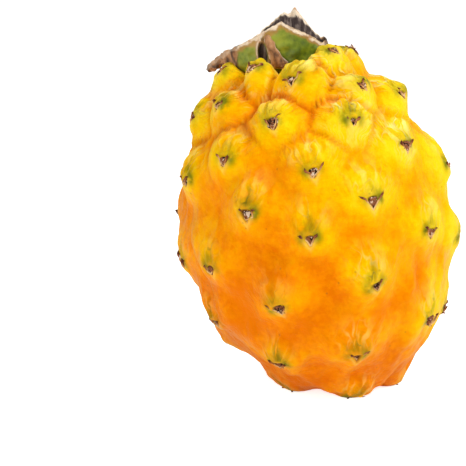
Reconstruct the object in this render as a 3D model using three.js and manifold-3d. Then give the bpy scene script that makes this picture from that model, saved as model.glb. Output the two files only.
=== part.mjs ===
// A whole yellow dragon fruit, as picked, standing on its blossom end with a cut piece of
// the climbing stem still on top. Units are millimetres. +Z is up and -Y is the front.
//
// The skin is one closed surface over directions from the middle of the fruit. A plain egg
// shape carries it, and each tubercle is raised from it by a formula. A tubercle ends in an
// areole: a three-cornered scar with two dry scale edges and the stubs of its spines.

import * as THREE from "three";
import { mergeVertices } from "three/addons/utils/BufferGeometryUtils.js";
import Module from "manifold-3d";

const wasm = await Module();
wasm.setup();

// Driving dimensions of the fruit, along its own axis, which leaves the ground at the blossom end
const LENGTH = 90; // blossom end to stem end, under the tubercles
const WAIST_HEIGHT = 48; // where the fruit is widest
const WAIST_RADIUS = 35.4; // there, under the tubercles
const SHOULDER_FULLNESS = 0.9; // 1 is an ellipse, and less is fuller
const FOOT_FULLNESS = 0.9;
const SEAT = { radius: 8, depth: 4 }; // the hollow that the stem grows from
const NAVEL = { radius: 7, depth: 6 }; // the hollow that the flower left
const LEAN = THREE.MathUtils.degToRad(8); // the fruit leans to its left
const LEAN_FROM = 4; // below this height the foot stays level
const LEAN_FULL = 42; // above this one the fruit leans in full
const FLAT_SPOT_DEPTH = 0.8; // how far the lowest tubercles are pressed flat
const FOOT_LOWEST = 0.46; // their lowest point on the leaning axis before that
const FOOT_FROM_MIDDLE = new THREE.Vector2(6.34, 0.41); // the axis's foot, from the middle of the outline

// Areoles at the front, around the stem and around the foot: degrees round the fruit from the
// front towards its right, degrees down from the stem end, and where they aren't 1, how high
// and how wide the tubercle is beside its neighbours
const PLACED_AREOLES = [
  [-5, 31, 0.95, 1.7], [-42, 25], [-86, 30, 1, 0.9], [50, 23, 1.05, 1.3], [118, 27, 0.9, 1.1],
  [172, 27, 0.8], [-142, 27, 0.8],
  [41, 38], [112, 46, 0.7], [-56, 39], [66, 45], [-16, 45], [-82, 45],
  [24, 49], [-40, 57], [47, 61], [1, 63], [-66, 65],
  [77, 74], [23, 76], [-28, 75],
  [-4, 85], [50, 92], [54, 120], [88, 122, 0.8],
  [12, 158], [84, 158], [156, 158], [-132, 158], [-60, 158],
];

// The other areoles are spread evenly between those
const SPIRAL_COUNT = 62;
const SPIRAL_TURN = Math.PI * (3 - Math.sqrt(5));
const SPIRAL_FROM = THREE.MathUtils.degToRad(34);
const SPIRAL_TO = THREE.MathUtils.degToRad(146);
const CLOSEST_TO_PLACED = 13.5;
const UNEVEN = { least: 0.85, range: 0.3, turn: 0.618034 }; // the heights of their tubercles
const SPREAD = { reach: 21, rounds: 60, step: 0.25, radius: 42 };

// How the tubercles change from the stem end to the foot
const SIZES_AT = [20, 30, 38, 45, 60, 90, 130, 160]; // degrees down from the stem end
const SIZES = {
  height: [9.5, 10, 7.4, 6.6, 5.4, 3.9, 3, 3],
  side: [5.8, 6.4, 7.6, 8.6, 9.6, 10.6, 10.4, 6.8], // half width
  stemward: [5.8, 6.2, 7.6, 9.2, 11, 13, 12, 6.5], // reach from its crest to the stem end
  footward: [6, 6, 6.4, 6.8, 7.4, 8.4, 8.6, 6], // and to the foot
  upturn: [0.78, 0.72, 0.4, 0.2, 0.05, 0, -0.1, -0.2], // 1 points along the fruit's axis
  crest: [1, 1, 1.2, 1.2, 1.2, 1.4, 1.6, 1], // from the areole up to the crest
  bluntness: [1.9, 1.7, 1.4, 1.3, 1.25, 1.1, 1, 1.2], // 1 is a bell shape
};
const CREASES = [6, 6, 5, 4.4, 3.8, 3, 3, 3]; // higher is a sharper crease between tubercles
const TAPER = 0.3; // a tubercle narrows to its areole by this share
const TAPER_REACH = 6;
const FADE_WITH_DEPTH = 0.5; // how fast it fades around the fruit, beside across it
const FRAME_STEP = 0.01; // the angle over which directions on the fruit are measured

const SKIN_DETAIL = 15; // edges along each side of the icosahedron that the skin starts from
const CROWDING = 0.25; // how far its corners gather towards the stem end

// An areole, in its own frame: X to the side, Y to the stem end, Z out of the skin
const SCAR = { inner: 1.7, outer: 2.7, rise: 0.6, sunk: 1.6 };
const SCALE_EDGE = {
  radius: 0.7,
  length: 5,
  angle: THREE.MathUtils.degToRad(48), // up from the side
  dip: THREE.MathUtils.degToRad(12), // into the skin
  start: [0.9, -0.6],
};
const SPINE_STUB = { radius: 0.5, length: 2.4, angle: THREE.MathUtils.degToRad(30) };
const SPINE_STUBS = [[-0.7, 0.3], [0.8, 0.1]]; // where they stand on the scar

// The cut stem: a trough of rind along X whose keel grows out of the seat. Heights are along
// the fruit's axis, and Y is away from the front
const STEM_STATIONS = [
  { x: -24.4, middle: 7.8, half: 1.3, front: 95.2, back: 95.6, keel: 93.4, floor: 95 },
  { x: -22, middle: 7.2, half: 2, front: 97.2, back: 97.6, keel: 92.9, floor: 96.6 },
  { x: -19.5, middle: 6, half: 2.8, front: 99, back: 99.4, keel: 92, floor: 98 },
  { x: -17, middle: 3.8, half: 3.8, front: 100.3, back: 100.8, keel: 90.8, floor: 99 },
  { x: -12, middle: 1.2, half: 5.6, front: 101.8, back: 101.4, keel: 88.4, floor: 99.4 },
  { x: -7, middle: 0, half: 6.3, front: 103.7, back: 103.6, keel: 86.8, floor: 100.4 },
  { x: -1.6, middle: 0, half: 6.6, front: 105.3, back: 107, keel: 86.3, floor: 101.4 },
  { x: 2.4, middle: 0, half: 6.4, front: 103.2, back: 108.2, keel: 86.3, floor: 101.6 },
  { x: 5.6, middle: 0, half: 5.8, front: 100.6, back: 103.9, keel: 87.2, floor: 99 },
  { x: 8.4, middle: 0.2, half: 4, front: 98.5, back: 99, keel: 90.6, floor: 97 },
  { x: 10.3, middle: 0.4, half: 1.6, front: 98, back: 98.5, keel: 95, floor: 97 },
];
const RIM_THICKNESS = 1.3;
const WALL_BULGE = 0.86; // how far out the rind stands halfway down
const WALL_MIDDLE = 0.5;
const KEEL_HALF = 1.6;
const STEM_GAP = 0.3; // between the stem and the skin
const ROOM_FOR_AREOLES = 1.6; // how much larger than the areoles the room is that the stem leaves them
const STEM_REACH = THREE.MathUtils.degToRad(45); // the stem lies over the skin above this angle
const SCAR_PIT = { from: [-7.6, -8.2, 98.4], radius: 2.6, length: 7 };
const DRY_BRACT = { width: 1.9, thickness: 0.9, steps: 10 };
const DRY_BRACT_ROUTE = [[-6.4, -6.6, 103.6], [-5.2, -7.4, 100.6], [-4.4, -7.3, 97.6], [-2.2, -7.6, 95]];

const SKIN = new THREE.MeshStandardMaterial({ color: 0xfdb515, roughness: 0.42, metalness: 0 });
const STEM = new THREE.MeshStandardMaterial({ color: 0x5c7d1e, roughness: 0.55, metalness: 0 });

// The value of a list over SIZES_AT, at an angle down from the stem end in radians
function sizeAt(list, polar) {
  const degrees = THREE.MathUtils.radToDeg(polar);
  const last = SIZES_AT.length - 1;
  if (degrees <= SIZES_AT[0]) return list[0];
  if (degrees >= SIZES_AT[last]) return list[last];
  const i = SIZES_AT.findIndex((at) => at > degrees) - 1;
  const share = (degrees - SIZES_AT[i]) / (SIZES_AT[i + 1] - SIZES_AT[i]);
  return list[i] + share * (list[i + 1] - list[i]);
}

// A point of the egg shape under the tubercles
function eggPoint(azimuth, polar) {
  const upper = Math.cos(polar) > 0;
  const reach = upper ? LENGTH - WAIST_HEIGHT : WAIST_HEIGHT;
  const fullness = upper ? SHOULDER_FULLNESS : FOOT_FULLNESS;
  const radius = WAIST_RADIUS * Math.max(0, Math.sin(polar)) ** fullness;
  const hollow = upper ? SEAT : NAVEL;
  const dip = hollow.depth * Math.exp(-((radius / hollow.radius) ** 2));
  const height = WAIST_HEIGHT + reach * Math.cos(polar) + (upper ? -dip : dip);
  return new THREE.Vector3(radius * Math.sin(azimuth), -radius * Math.cos(azimuth), height);
}

// That point, with the directions to its side, towards the stem end and outwards
function eggFrame(azimuth, polar) {
  const at = THREE.MathUtils.clamp(polar, 2 * FRAME_STEP, Math.PI - 2 * FRAME_STEP);
  const point = eggPoint(azimuth, polar);
  const above = eggPoint(azimuth, at - FRAME_STEP);
  const stemward = above.sub(eggPoint(azimuth, at + FRAME_STEP)).normalize();
  const side = new THREE.Vector3(Math.cos(azimuth), Math.sin(azimuth), 0);
  return { point, side, stemward, out: side.clone().cross(stemward) };
}

// The areoles that the spiral adds, pushed apart until they are evenly spread
function spreadAreoles(placed) {
  const fixed = placed.map((a) => eggPoint(a.azimuth, a.polar));
  const free = [];
  for (let k = 0; k < SPIRAL_COUNT; k++) {
    const polar = Math.acos(1 - (2 * (k + 0.5)) / SPIRAL_COUNT);
    const azimuth = (k * SPIRAL_TURN) % (2 * Math.PI);
    if (polar <= SPIRAL_FROM || polar >= SPIRAL_TO) continue;
    const point = eggPoint(azimuth, polar);
    if (fixed.every((p) => p.distanceTo(point) > CLOSEST_TO_PLACED)) free.push({ azimuth, polar });
  }
  for (let round = 0; round < SPREAD.rounds; round++) {
    const points = [...fixed, ...free.map((a) => eggPoint(a.azimuth, a.polar))];
    const moves = free.map((areole, i) => {
      const frame = eggFrame(areole.azimuth, areole.polar);
      const push = new THREE.Vector3();
      points.forEach((other, j) => {
        if (j === fixed.length + i) return;
        const away = frame.point.clone().sub(other);
        const distance = away.length();
        if (distance < SPREAD.reach) push.addScaledVector(away, (SPREAD.reach - distance) / distance);
      });
      push.multiplyScalar(SPREAD.step);
      const radius = Math.hypot(frame.point.x, frame.point.y);
      return [push.dot(frame.side) / radius, -push.dot(frame.stemward) / SPREAD.radius];
    });
    free.forEach((areole, i) => {
      areole.azimuth += moves[i][0];
      areole.polar = THREE.MathUtils.clamp(areole.polar + moves[i][1], SPIRAL_FROM, SPIRAL_TO);
    });
  }
  return free.map((areole, i) => ({
    ...areole,
    height: UNEVEN.least + UNEVEN.range * ((i * UNEVEN.turn) % 1),
    width: 1,
  }));
}

function makeAreoles() {
  const placed = PLACED_AREOLES.map(([azimuth, polar, height = 1, width = 1]) => ({
    azimuth: THREE.MathUtils.degToRad(azimuth),
    polar: THREE.MathUtils.degToRad(polar),
    height,
    width,
  }));
  return [...placed, ...spreadAreoles(placed)];
}

// What the skin's formula needs of each tubercle, worked out once
function makeTubercle({ azimuth, polar, height, width }) {
  const s = Object.fromEntries(Object.entries(SIZES).map(([name, list]) => [name, sizeAt(list, polar)]));
  const frame = eggFrame(azimuth, polar - s.crest / SPREAD.radius);
  const direction = frame.out.clone().multiplyScalar(1 - Math.abs(s.upturn));
  direction.z += s.upturn;
  return { ...s, height: s.height * height, side: s.side * width, frame, direction: direction.normalize() };
}

// The skin at a direction from the middle of the fruit, on the fruit's own upright axis.
// grown moves it outwards
function skinPoint(azimuth, polar, tubercles, grown = 0) {
  const egg = eggFrame(azimuth, polar);
  const direction = egg.out.clone().multiplyScalar(1e-6);
  const crease = sizeAt(CREASES, polar);
  let total = 0;
  for (const t of tubercles) {
    const offset = egg.point.clone().sub(t.frame.point);
    const x = offset.dot(t.frame.side);
    const y = offset.dot(t.frame.stemward);
    const z = offset.dot(t.frame.out);
    const halfWidth = t.side * (1 + TAPER * Math.tanh(y / TAPER_REACH));
    const along = y / (y > 0 ? t.stemward : t.footward);
    const away = (x / halfWidth) ** 2 + along ** 2 + FADE_WITH_DEPTH * (z / t.side) ** 2;
    const weight = (t.height * Math.exp(-(away ** t.bluntness))) ** crease;
    total += weight;
    direction.addScaledVector(t.direction, weight);
  }
  const rise = total ** (1 / crease);
  return egg.point.addScaledVector(direction.normalize(), rise).addScaledVector(egg.out, grown);
}

// From the fruit's own upright axis to how it stands: the fruit leans, and its foot stays level
function stand(point) {
  const share = THREE.MathUtils.smoothstep(point.z, LEAN_FROM, LEAN_FULL);
  const x = point.x * (1 - (1 - Math.cos(LEAN)) * share) - point.z * Math.sin(LEAN);
  const z = point.z * Math.cos(LEAN) + point.x * Math.sin(LEAN) * share;
  return new THREE.Vector3(
    x + FOOT_FROM_MIDDLE.x,
    point.y + FOOT_FROM_MIDDLE.y,
    z - FOOT_LOWEST - FLAT_SPOT_DEPTH,
  );
}

// A closed geometry as a solid that can be joined and cut
function toSolid(geometry) {
  geometry.deleteAttribute("normal");
  geometry.deleteAttribute("uv");
  const merged = mergeVertices(geometry, 1e-4);
  return new wasm.Manifold(
    new wasm.Mesh({
      numProp: 3,
      vertProperties: new Float32Array(merged.attributes.position.array),
      triVerts: new Uint32Array(merged.index.array),
    }),
  );
}

function toGeometry(solid) {
  const mesh = solid.getMesh();
  const geometry = new THREE.BufferGeometry();
  geometry.setAttribute("position", new THREE.BufferAttribute(mesh.vertProperties, 3));
  geometry.setIndex(new THREE.BufferAttribute(mesh.triVerts, 1));
  geometry.computeVertexNormals();
  return geometry;
}

function makeSkin(tubercles, grown = 0) {
  const sphere = new THREE.IcosahedronGeometry(1, SKIN_DETAIL);
  const corners = sphere.attributes.position;
  const corner = new THREE.Vector3();
  for (let i = 0; i < corners.count; i++) {
    corner.fromBufferAttribute(corners, i).normalize();
    const down = Math.acos(THREE.MathUtils.clamp(corner.z, -1, 1));
    const polar = down - (CROWDING * Math.sin(down) * (1 + Math.cos(down))) / 2;
    const azimuth = Math.atan2(corner.x, -corner.y);
    const point = stand(skinPoint(azimuth, polar, tubercles, grown));
    corners.setXYZ(i, point.x, point.y, point.z);
  }
  return toSolid(sphere);
}

// The scar, scale edges and spine stubs of one areole, set on the skin
function makeAreole({ azimuth, polar }, tubercles, enlarged = 1) {
  const step = 2 * FRAME_STEP;
  const at = (a, p) => stand(skinPoint(a, p, tubercles));
  const point = at(azimuth, polar);
  const stemward = at(azimuth, polar - step).sub(at(azimuth, polar + step)).normalize();
  const across = at(azimuth + step, polar).sub(at(azimuth - step, polar)).normalize();
  const out = across.clone().cross(stemward).normalize();
  const side = stemward.clone().cross(out);
  const place = new THREE.Matrix4().makeBasis(side, stemward, out).setPosition(point);
  place.scale(new THREE.Vector3(enlarged, enlarged, enlarged));

  const scarHeight = SCAR.rise + SCAR.sunk;
  const scar = new THREE.CylinderGeometry(SCAR.inner, SCAR.outer, scarHeight, 3);
  scar.rotateX(Math.PI / 2).translate(0, 0, (SCAR.rise - SCAR.sunk) / 2);
  let areole = toSolid(scar.applyMatrix4(place));
  for (const hand of [-1, 1]) {
    const edge = new THREE.ConeGeometry(SCALE_EDGE.radius, SCALE_EDGE.length, 3);
    edge.translate(0, SCALE_EDGE.length / 2 - SCALE_EDGE.radius, 0).rotateX(-SCALE_EDGE.dip);
    edge.rotateZ(-hand * (Math.PI / 2 - SCALE_EDGE.angle));
    edge.translate(hand * SCALE_EDGE.start[0], SCALE_EDGE.start[1], 0);
    areole = areole.add(toSolid(edge.applyMatrix4(place)));
  }
  SPINE_STUBS.forEach(([x, y], i) => {
    const stub = new THREE.ConeGeometry(SPINE_STUB.radius, SPINE_STUB.length, 3);
    stub.rotateX(Math.PI / 2).rotateY((i % 2 ? 1 : -1) * SPINE_STUB.angle).translate(x, y, SCAR.rise);
    areole = areole.add(toSolid(stub.applyMatrix4(place)));
  });
  return areole;
}

function makeFruit(areoles, tubercles) {
  const ground = new THREE.BoxGeometry(4 * WAIST_RADIUS, 4 * WAIST_RADIUS, LENGTH);
  ground.translate(0, 0, -LENGTH / 2);
  let fruit = makeSkin(tubercles);
  for (const areole of areoles) fruit = fruit.add(makeAreole(areole, tubercles));
  return fruit.subtract(toSolid(ground));
}

// One ring of the trough, from the front rim under the keel to the back rim and over the pith
function stemRing({ x, middle, half, front, back, keel, floor }) {
  const rim = Math.min(RIM_THICKNESS, half / 2);
  const frontMiddle = THREE.MathUtils.lerp(keel, front, WALL_MIDDLE);
  const backMiddle = THREE.MathUtils.lerp(keel, back, WALL_MIDDLE);
  const keelHalf = Math.min(KEEL_HALF, half / 2);
  return [
    [-half, front], [-half * WALL_BULGE, frontMiddle], [-keelHalf, keel],
    [keelHalf, keel], [half * WALL_BULGE, backMiddle], [half, back],
    [half - rim, back], [0, floor], [-half + rim, front],
  ].map(([y, z]) => new THREE.Vector3(x, middle + y, z));
}

// A closed solid through rings that each have the same number of corners
function loft(rings) {
  const count = rings[0].length;
  const corners = rings.flat().flatMap((p) => [p.x, p.y, p.z]);
  const faces = [];
  for (let i = 0; i + 1 < rings.length; i++) {
    for (let j = 0; j < count; j++) {
      const a = i * count + j;
      const b = i * count + ((j + 1) % count);
      faces.push(a, b, b + count, a, b + count, a + count);
    }
  }
  const outline = rings[0].map((p) => new THREE.Vector2(p.y, p.z));
  const last = (rings.length - 1) * count;
  for (const [a, b, c] of THREE.ShapeUtils.triangulateShape(outline, [])) {
    faces.push(a, c, b, last + a, last + b, last + c);
  }
  const geometry = new THREE.BufferGeometry();
  geometry.setAttribute("position", new THREE.Float32BufferAttribute(corners, 3));
  geometry.setIndex(faces);
  return geometry;
}

function makeStem(areoles, tubercles) {
  const trough = toSolid(loft(STEM_STATIONS.map(stemRing)));
  const pit = new THREE.ConeGeometry(SCAR_PIT.radius, SCAR_PIT.length, 5);
  pit.rotateX(Math.PI / 2).translate(...SCAR_PIT.from);
  const route = new THREE.CatmullRomCurve3(DRY_BRACT_ROUTE.map((p) => new THREE.Vector3(...p)));
  const section = new THREE.Shape([
    new THREE.Vector2(-DRY_BRACT.thickness, -DRY_BRACT.width / 2),
    new THREE.Vector2(DRY_BRACT.thickness, -DRY_BRACT.width / 3),
    new THREE.Vector2(DRY_BRACT.thickness, DRY_BRACT.width / 3),
    new THREE.Vector2(-DRY_BRACT.thickness, DRY_BRACT.width / 2),
  ]);
  const bract = new THREE.ExtrudeGeometry(section, { steps: DRY_BRACT.steps, extrudePath: route });
  const upright = trough.subtract(toSolid(pit)).add(toSolid(bract));
  const standing = upright.warp((corner) => {
    const point = stand(new THREE.Vector3(...corner));
    [corner[0], corner[1], corner[2]] = point.toArray();
  });
  let stem = standing.subtract(makeSkin(tubercles, STEM_GAP));
  for (const areole of areoles.filter((a) => a.polar < STEM_REACH)) {
    stem = stem.subtract(makeAreole(areole, tubercles, ROOM_FOR_AREOLES));
  }
  return stem;
}

function makeMesh(name, solid, material) {
  const mesh = new THREE.Mesh(toGeometry(solid), material);
  mesh.name = name;
  return mesh;
}

const areoles = makeAreoles();
const tubercles = areoles.map(makeTubercle);
const dragonFruit = new THREE.Group();
dragonFruit.add(makeMesh("fruit", makeFruit(areoles, tubercles), SKIN));
dragonFruit.add(makeMesh("cut_stem", makeStem(areoles, tubercles), STEM));

export default dragonFruit;
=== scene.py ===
"""A whole yellow dragon fruit with a cut piece of its stem, in a plain pale studio.

Values in this file are millimetres, and the meshes are metres. The fruit is worked out on its
own upright axis, and FruitForm.stand leans it and puts its foot on the ground. Directions on
the fruit are an azimuth, from the front towards its right, and a polar angle from its stem end.
"""

import logging
import math
from collections.abc import Callable
from dataclasses import dataclass
from enum import Enum
from functools import cached_property

import bmesh
import bpy
import numpy as np
from bmesh.types import BMesh, BMVert
from bpy.types import Material, Node, NodeSocket, NodeTree, Object
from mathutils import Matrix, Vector


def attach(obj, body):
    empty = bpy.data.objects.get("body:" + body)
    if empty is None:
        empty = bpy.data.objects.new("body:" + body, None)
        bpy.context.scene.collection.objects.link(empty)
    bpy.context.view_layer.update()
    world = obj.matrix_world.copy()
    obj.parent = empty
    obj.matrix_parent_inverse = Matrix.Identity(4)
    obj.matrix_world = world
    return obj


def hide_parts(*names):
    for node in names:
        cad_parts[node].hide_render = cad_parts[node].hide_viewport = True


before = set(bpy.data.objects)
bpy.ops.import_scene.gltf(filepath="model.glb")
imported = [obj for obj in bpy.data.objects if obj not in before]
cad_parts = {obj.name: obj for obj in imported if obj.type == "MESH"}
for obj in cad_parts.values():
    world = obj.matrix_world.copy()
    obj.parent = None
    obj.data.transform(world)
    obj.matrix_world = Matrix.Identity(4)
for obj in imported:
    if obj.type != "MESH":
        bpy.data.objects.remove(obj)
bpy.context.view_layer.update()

Array = np.ndarray
Masks = dict[str, np.ndarray]
Span = tuple[float, float, float, float]
MM = 0.001
WHITE = (1.0, 1.0, 1.0, 1.0)
logger = logging.getLogger("dragon_fruit")


def smooth_step(value: Array, low: float, high: float) -> Array:
    """Rise smoothly from 0 at low to 1 at high, or fall where low is above high."""
    share = np.clip((value - low) / (high - low), 0.0, 1.0)
    return share * share * (3.0 - 2.0 * share)


def window(value: Array, start: float, full: float, fading: float, end: float) -> Array:
    """Rise smoothly from 0 at start to 1 at full, and fall again from fading to 0 at end."""
    return smooth_step(value, start, full) * smooth_step(value, end, fading)


def bell(value: Array, width: float) -> Array:
    """Give 1 at 0, falling to about a third at width."""
    return np.exp(-((value / width) ** 2))


def unit(vectors: Array) -> Array:
    """Give vectors of length 1 in the same directions."""
    return vectors / np.linalg.norm(vectors, axis=-1, keepdims=True)


def srgb(red: int, green: int, blue: int) -> tuple[float, float, float, float]:
    """Turn a display colour of 0 to 255 into the linear colour that shaders use.

    Args:
        red, green, blue: The display colour's parts.

    Returns:
        The linear colour, opaque.
    """
    parts = np.array([red, green, blue]) / 255.0
    linear = np.where(parts <= 0.04045, parts / 12.92, ((parts + 0.055) / 1.055) ** 2.4)
    return (*linear.tolist(), 1.0)


@dataclass(frozen=True)
class Waves:
    """Smooth, seeded unevenness: many sine waves in different directions.

    Attributes:
        seed: The number that the draw of waves starts from.
        count: How many waves there are.
        shortest: The shortest wave's length.
        longest: The longest wave's length.
        stretch: How many times longer the unevenness is along Z than across.
    """

    seed: int
    count: int = 24
    shortest: float = 8.0
    longest: float = 20.0
    stretch: float = 1.0

    def at(self, points: Array) -> Array:
        """Work out the unevenness at points.

        Args:
            points: The points, one in each row.

        Returns:
            A value for each, mostly between -1 and 1.
        """
        draw = np.random.default_rng(self.seed)
        total = np.zeros(len(points))
        for _ in range(self.count):
            direction = unit(draw.normal(size=3))
            direction[2] /= self.stretch
            length = draw.uniform(self.shortest, self.longest)
            phase = draw.uniform(0, 2 * math.pi)
            total += np.sin(points @ direction * (2 * math.pi / length) + phase)
        return total / math.sqrt(self.count)


@dataclass(frozen=True)
class Areole:
    """Where an areole is, in radians, and how its tubercle differs from its neighbours.

    Attributes:
        azimuth, polar: Where it is.
        height, width: The tubercle's height and width beside the others.
        up: How far the tubercle's middle is above it, past its crest.
        aside: How far to the right.
    """

    azimuth: float
    polar: float
    height: float = 1.0
    width: float = 1.0
    up: float = 0.0
    aside: float = 0.0


@dataclass(frozen=True)
class Tubercle:
    """What the skin's formula needs of one tubercle.

    Attributes:
        height: How far it stands out.
        side, stemward, footward: How far it reaches in each direction.
        bluntness: How flat its top is.
        point: Its middle on the egg shape.
        across, up, out: Its directions there.
        direction: The direction that it points in.
    """

    height: float
    side: float
    stemward: float
    footward: float
    bluntness: float
    point: Array
    across: Array
    up: Array
    out: Array
    direction: Array


@dataclass(frozen=True)
class FruitForm:
    """The fruit's form: an egg shape with tubercles raised from it.

    The fruit's solid has the same form, but for two tubercles: the one in front of the stem,
    which is narrower here and set higher, and the one to its right, which is turned a little.

    Attributes:
        fullness: The power of a sine that the egg shape's outline follows.
        seat, navel: The width and depth of the hollows at its stem and foot ends.
        lean: The fruit's lean, which starts at the height lean_from and is full at lean_full.
        foot_lowest, foot_from_middle: What sets the leant fruit on the ground, in the middle.
        crowding: How much the skin's faces are gathered towards the stem end.
        placed: Degrees round and down of the areoles that are placed, then how their
            tubercles differ.
        spiral_count, spiral_reach: How many others a whole spiral has, and the polar angles
            between which they are kept.
        closest_to_placed: How near to a placed areole another may start.
        spread_reach: How far off areoles push each other, in spread_rounds steps.
        uneven: The least height of a spread tubercle beside a placed one, how much more it
            may have, and the share of a turn that mixes them.
        sizes_at: Degrees down from the stem end, where the lists after it have their values.
        upturns: How much a tubercle points to the stem end rather than outwards.
        crests: How far stemward of its areole a tubercle's middle is.
        creases: How sharply neighbouring tubercles meet.
        taper: How much wider a tubercle is stemward, and narrower footward.
        outward_share: How much a distance outwards counts beside one to the side.
    """

    length: float = 90.0
    waist_height: float = 48.0
    waist_radius: float = 35.4
    fullness: float = 0.9
    seat: tuple[float, float] = (8.0, 4.0)
    navel: tuple[float, float] = (7.0, 6.0)
    lean: float = math.radians(8)
    lean_from: float = 4.0
    lean_full: float = 42.0
    flat_spot_depth: float = 0.8
    foot_lowest: float = 0.46
    foot_from_middle: tuple[float, float] = (6.34, 0.41)
    crowding: float = 0.25
    placed: tuple[tuple[float, ...], ...] = (
        (-5, 31, 1, 1.3, 2.6, 3), (-42, 25), (-86, 30, 1, 0.9), (45, 22, 1.05, 1.25),
        (118, 27, 0.9, 1.1), (172, 27, 0.8), (-142, 27, 0.8),
        (41, 38), (112, 46, 0.7), (-56, 39), (66, 45), (-16, 45), (-82, 45),
        (24, 49), (-40, 57), (47, 61), (1, 63), (-66, 65),
        (77, 74), (23, 76), (-28, 75),
        (-4, 85), (50, 92), (54, 120), (88, 122, 0.8),
        (12, 158), (84, 158), (156, 158), (-132, 158), (-60, 158),
    )
    spiral_count: int = 62
    spiral_reach: tuple[float, float] = (math.radians(34), math.radians(146))
    closest_to_placed: float = 13.5
    spread_reach: float = 21.0
    spread_rounds: int = 60
    spread_step: float = 0.25
    spread_radius: float = 42.0
    uneven: tuple[float, float, float] = (0.85, 0.3, 0.618034)
    sizes_at: tuple[float, ...] = (20, 30, 38, 45, 60, 90, 130, 160)
    heights: tuple[float, ...] = (9.5, 10, 7.4, 6.6, 5.4, 3.9, 3, 3)
    sides: tuple[float, ...] = (5.8, 6.4, 7.6, 8.6, 9.6, 10.6, 10.4, 6.8)
    stemwards: tuple[float, ...] = (5.8, 6.2, 7.6, 9.2, 11, 13, 12, 6.5)
    footwards: tuple[float, ...] = (6, 6, 6.4, 6.8, 7.4, 8.4, 8.6, 6)
    upturns: tuple[float, ...] = (0.78, 0.72, 0.4, 0.2, 0.05, 0, -0.1, -0.2)
    crests: tuple[float, ...] = (1, 1, 1.2, 1.2, 1.2, 1.4, 1.6, 1)
    bluntnesses: tuple[float, ...] = (1.9, 1.7, 1.4, 1.3, 1.25, 1.1, 1, 1.2)
    creases: tuple[float, ...] = (6, 6, 5, 4.4, 3.8, 3, 3, 3)
    taper: float = 0.3
    taper_reach: float = 6.0
    outward_share: float = 0.5
    least_lift: float = 0.05

    def size_at(self, values: tuple[float, ...], polar: Array) -> Array:
        """Read a list over sizes_at at polar angles in radians."""
        return np.interp(np.degrees(polar), self.sizes_at, values)

    def egg_point(self, azimuth: Array, polar: Array) -> Array:
        """Find points of the egg shape under the tubercles.

        Args:
            azimuth: Radians round from the front.
            polar: Radians down from the stem end.

        Returns:
            The points, on the fruit's upright axis.
        """
        upper = np.cos(polar) > 0
        reach = np.where(upper, self.length - self.waist_height, self.waist_height)
        radius = self.waist_radius * np.clip(np.sin(polar), 0, 1) ** self.fullness
        dip = np.where(
            upper,
            -self.seat[1] * bell(radius, self.seat[0]),
            self.navel[1] * bell(radius, self.navel[0]),
        )
        height = self.waist_height + reach * np.cos(polar) + dip
        return np.stack([radius * np.sin(azimuth), -radius * np.cos(azimuth), height], axis=-1)

    def egg_frame(self, azimuth: Array, polar: Array) -> tuple[Array, Array, Array, Array]:
        """Find egg points, with the directions across, towards the stem end and outwards.

        Args:
            azimuth: Radians round from the front.
            polar: Radians down from the stem end.

        Returns:
            The points and the three directions.
        """
        step = 0.01
        at = np.clip(polar, 2 * step, math.pi - 2 * step)
        up = unit(self.egg_point(azimuth, at - step) - self.egg_point(azimuth, at + step))
        across = np.stack([np.cos(azimuth), np.sin(azimuth), 0 * azimuth], axis=-1)
        return self.egg_point(azimuth, polar), across, up, np.cross(across, up)

    def spread(self, placed: list[Areole]) -> list[Areole]:
        """Place the other areoles on a spiral, and push them apart until they are even.

        Args:
            placed: The areoles that keep their places.

        Returns:
            The other areoles.
        """
        fixed = [self.egg_point(np.float64(a.azimuth), np.float64(a.polar)) for a in placed]
        free: list[list[float]] = []
        turn = math.pi * (3 - math.sqrt(5))
        for k in range(self.spiral_count):
            polar = math.acos(1 - 2 * (k + 0.5) / self.spiral_count)
            azimuth = (k * turn) % (2 * math.pi)
            if not self.spiral_reach[0] < polar < self.spiral_reach[1]:
                continue
            point = self.egg_point(np.float64(azimuth), np.float64(polar))
            if all(np.linalg.norm(point - other) > self.closest_to_placed for other in fixed):
                free.append([azimuth, polar])
        for _ in range(self.spread_rounds):
            points = fixed + [self.egg_point(np.float64(a), np.float64(p)) for a, p in free]
            moves = []
            for i, (azimuth, polar) in enumerate(free):
                point, across, up, _out = self.egg_frame(np.float64(azimuth), np.float64(polar))
                push = np.zeros(3)
                for j, other in enumerate(points):
                    away = point - other
                    distance = np.linalg.norm(away)
                    if j != len(fixed) + i and distance < self.spread_reach:
                        push += away / distance * (self.spread_reach - distance)
                radius = math.hypot(point[0], point[1])
                moves.append((push @ across / radius, -(push @ up) / self.spread_radius))
            for place, (round_move, down_move) in zip(free, moves):
                place[0] += round_move * self.spread_step
                place[1] += down_move * self.spread_step
                place[1] = min(max(place[1], self.spiral_reach[0]), self.spiral_reach[1])
        least, extent, turn_share = self.uneven
        return [
            Areole(azimuth, polar, least + extent * ((i * turn_share) % 1))
            for i, (azimuth, polar) in enumerate(free)
        ]

    @cached_property
    def areoles(self) -> list[Areole]:
        """All the areoles, the placed ones first."""
        placed = [Areole(math.radians(p[0]), math.radians(p[1]), *p[2:]) for p in self.placed]
        return placed + self.spread(placed)

    @cached_property
    def tubercles(self) -> list[Tubercle]:
        """The tubercle over each areole."""
        return [self.tubercle(areole) for areole in self.areoles]

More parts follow.
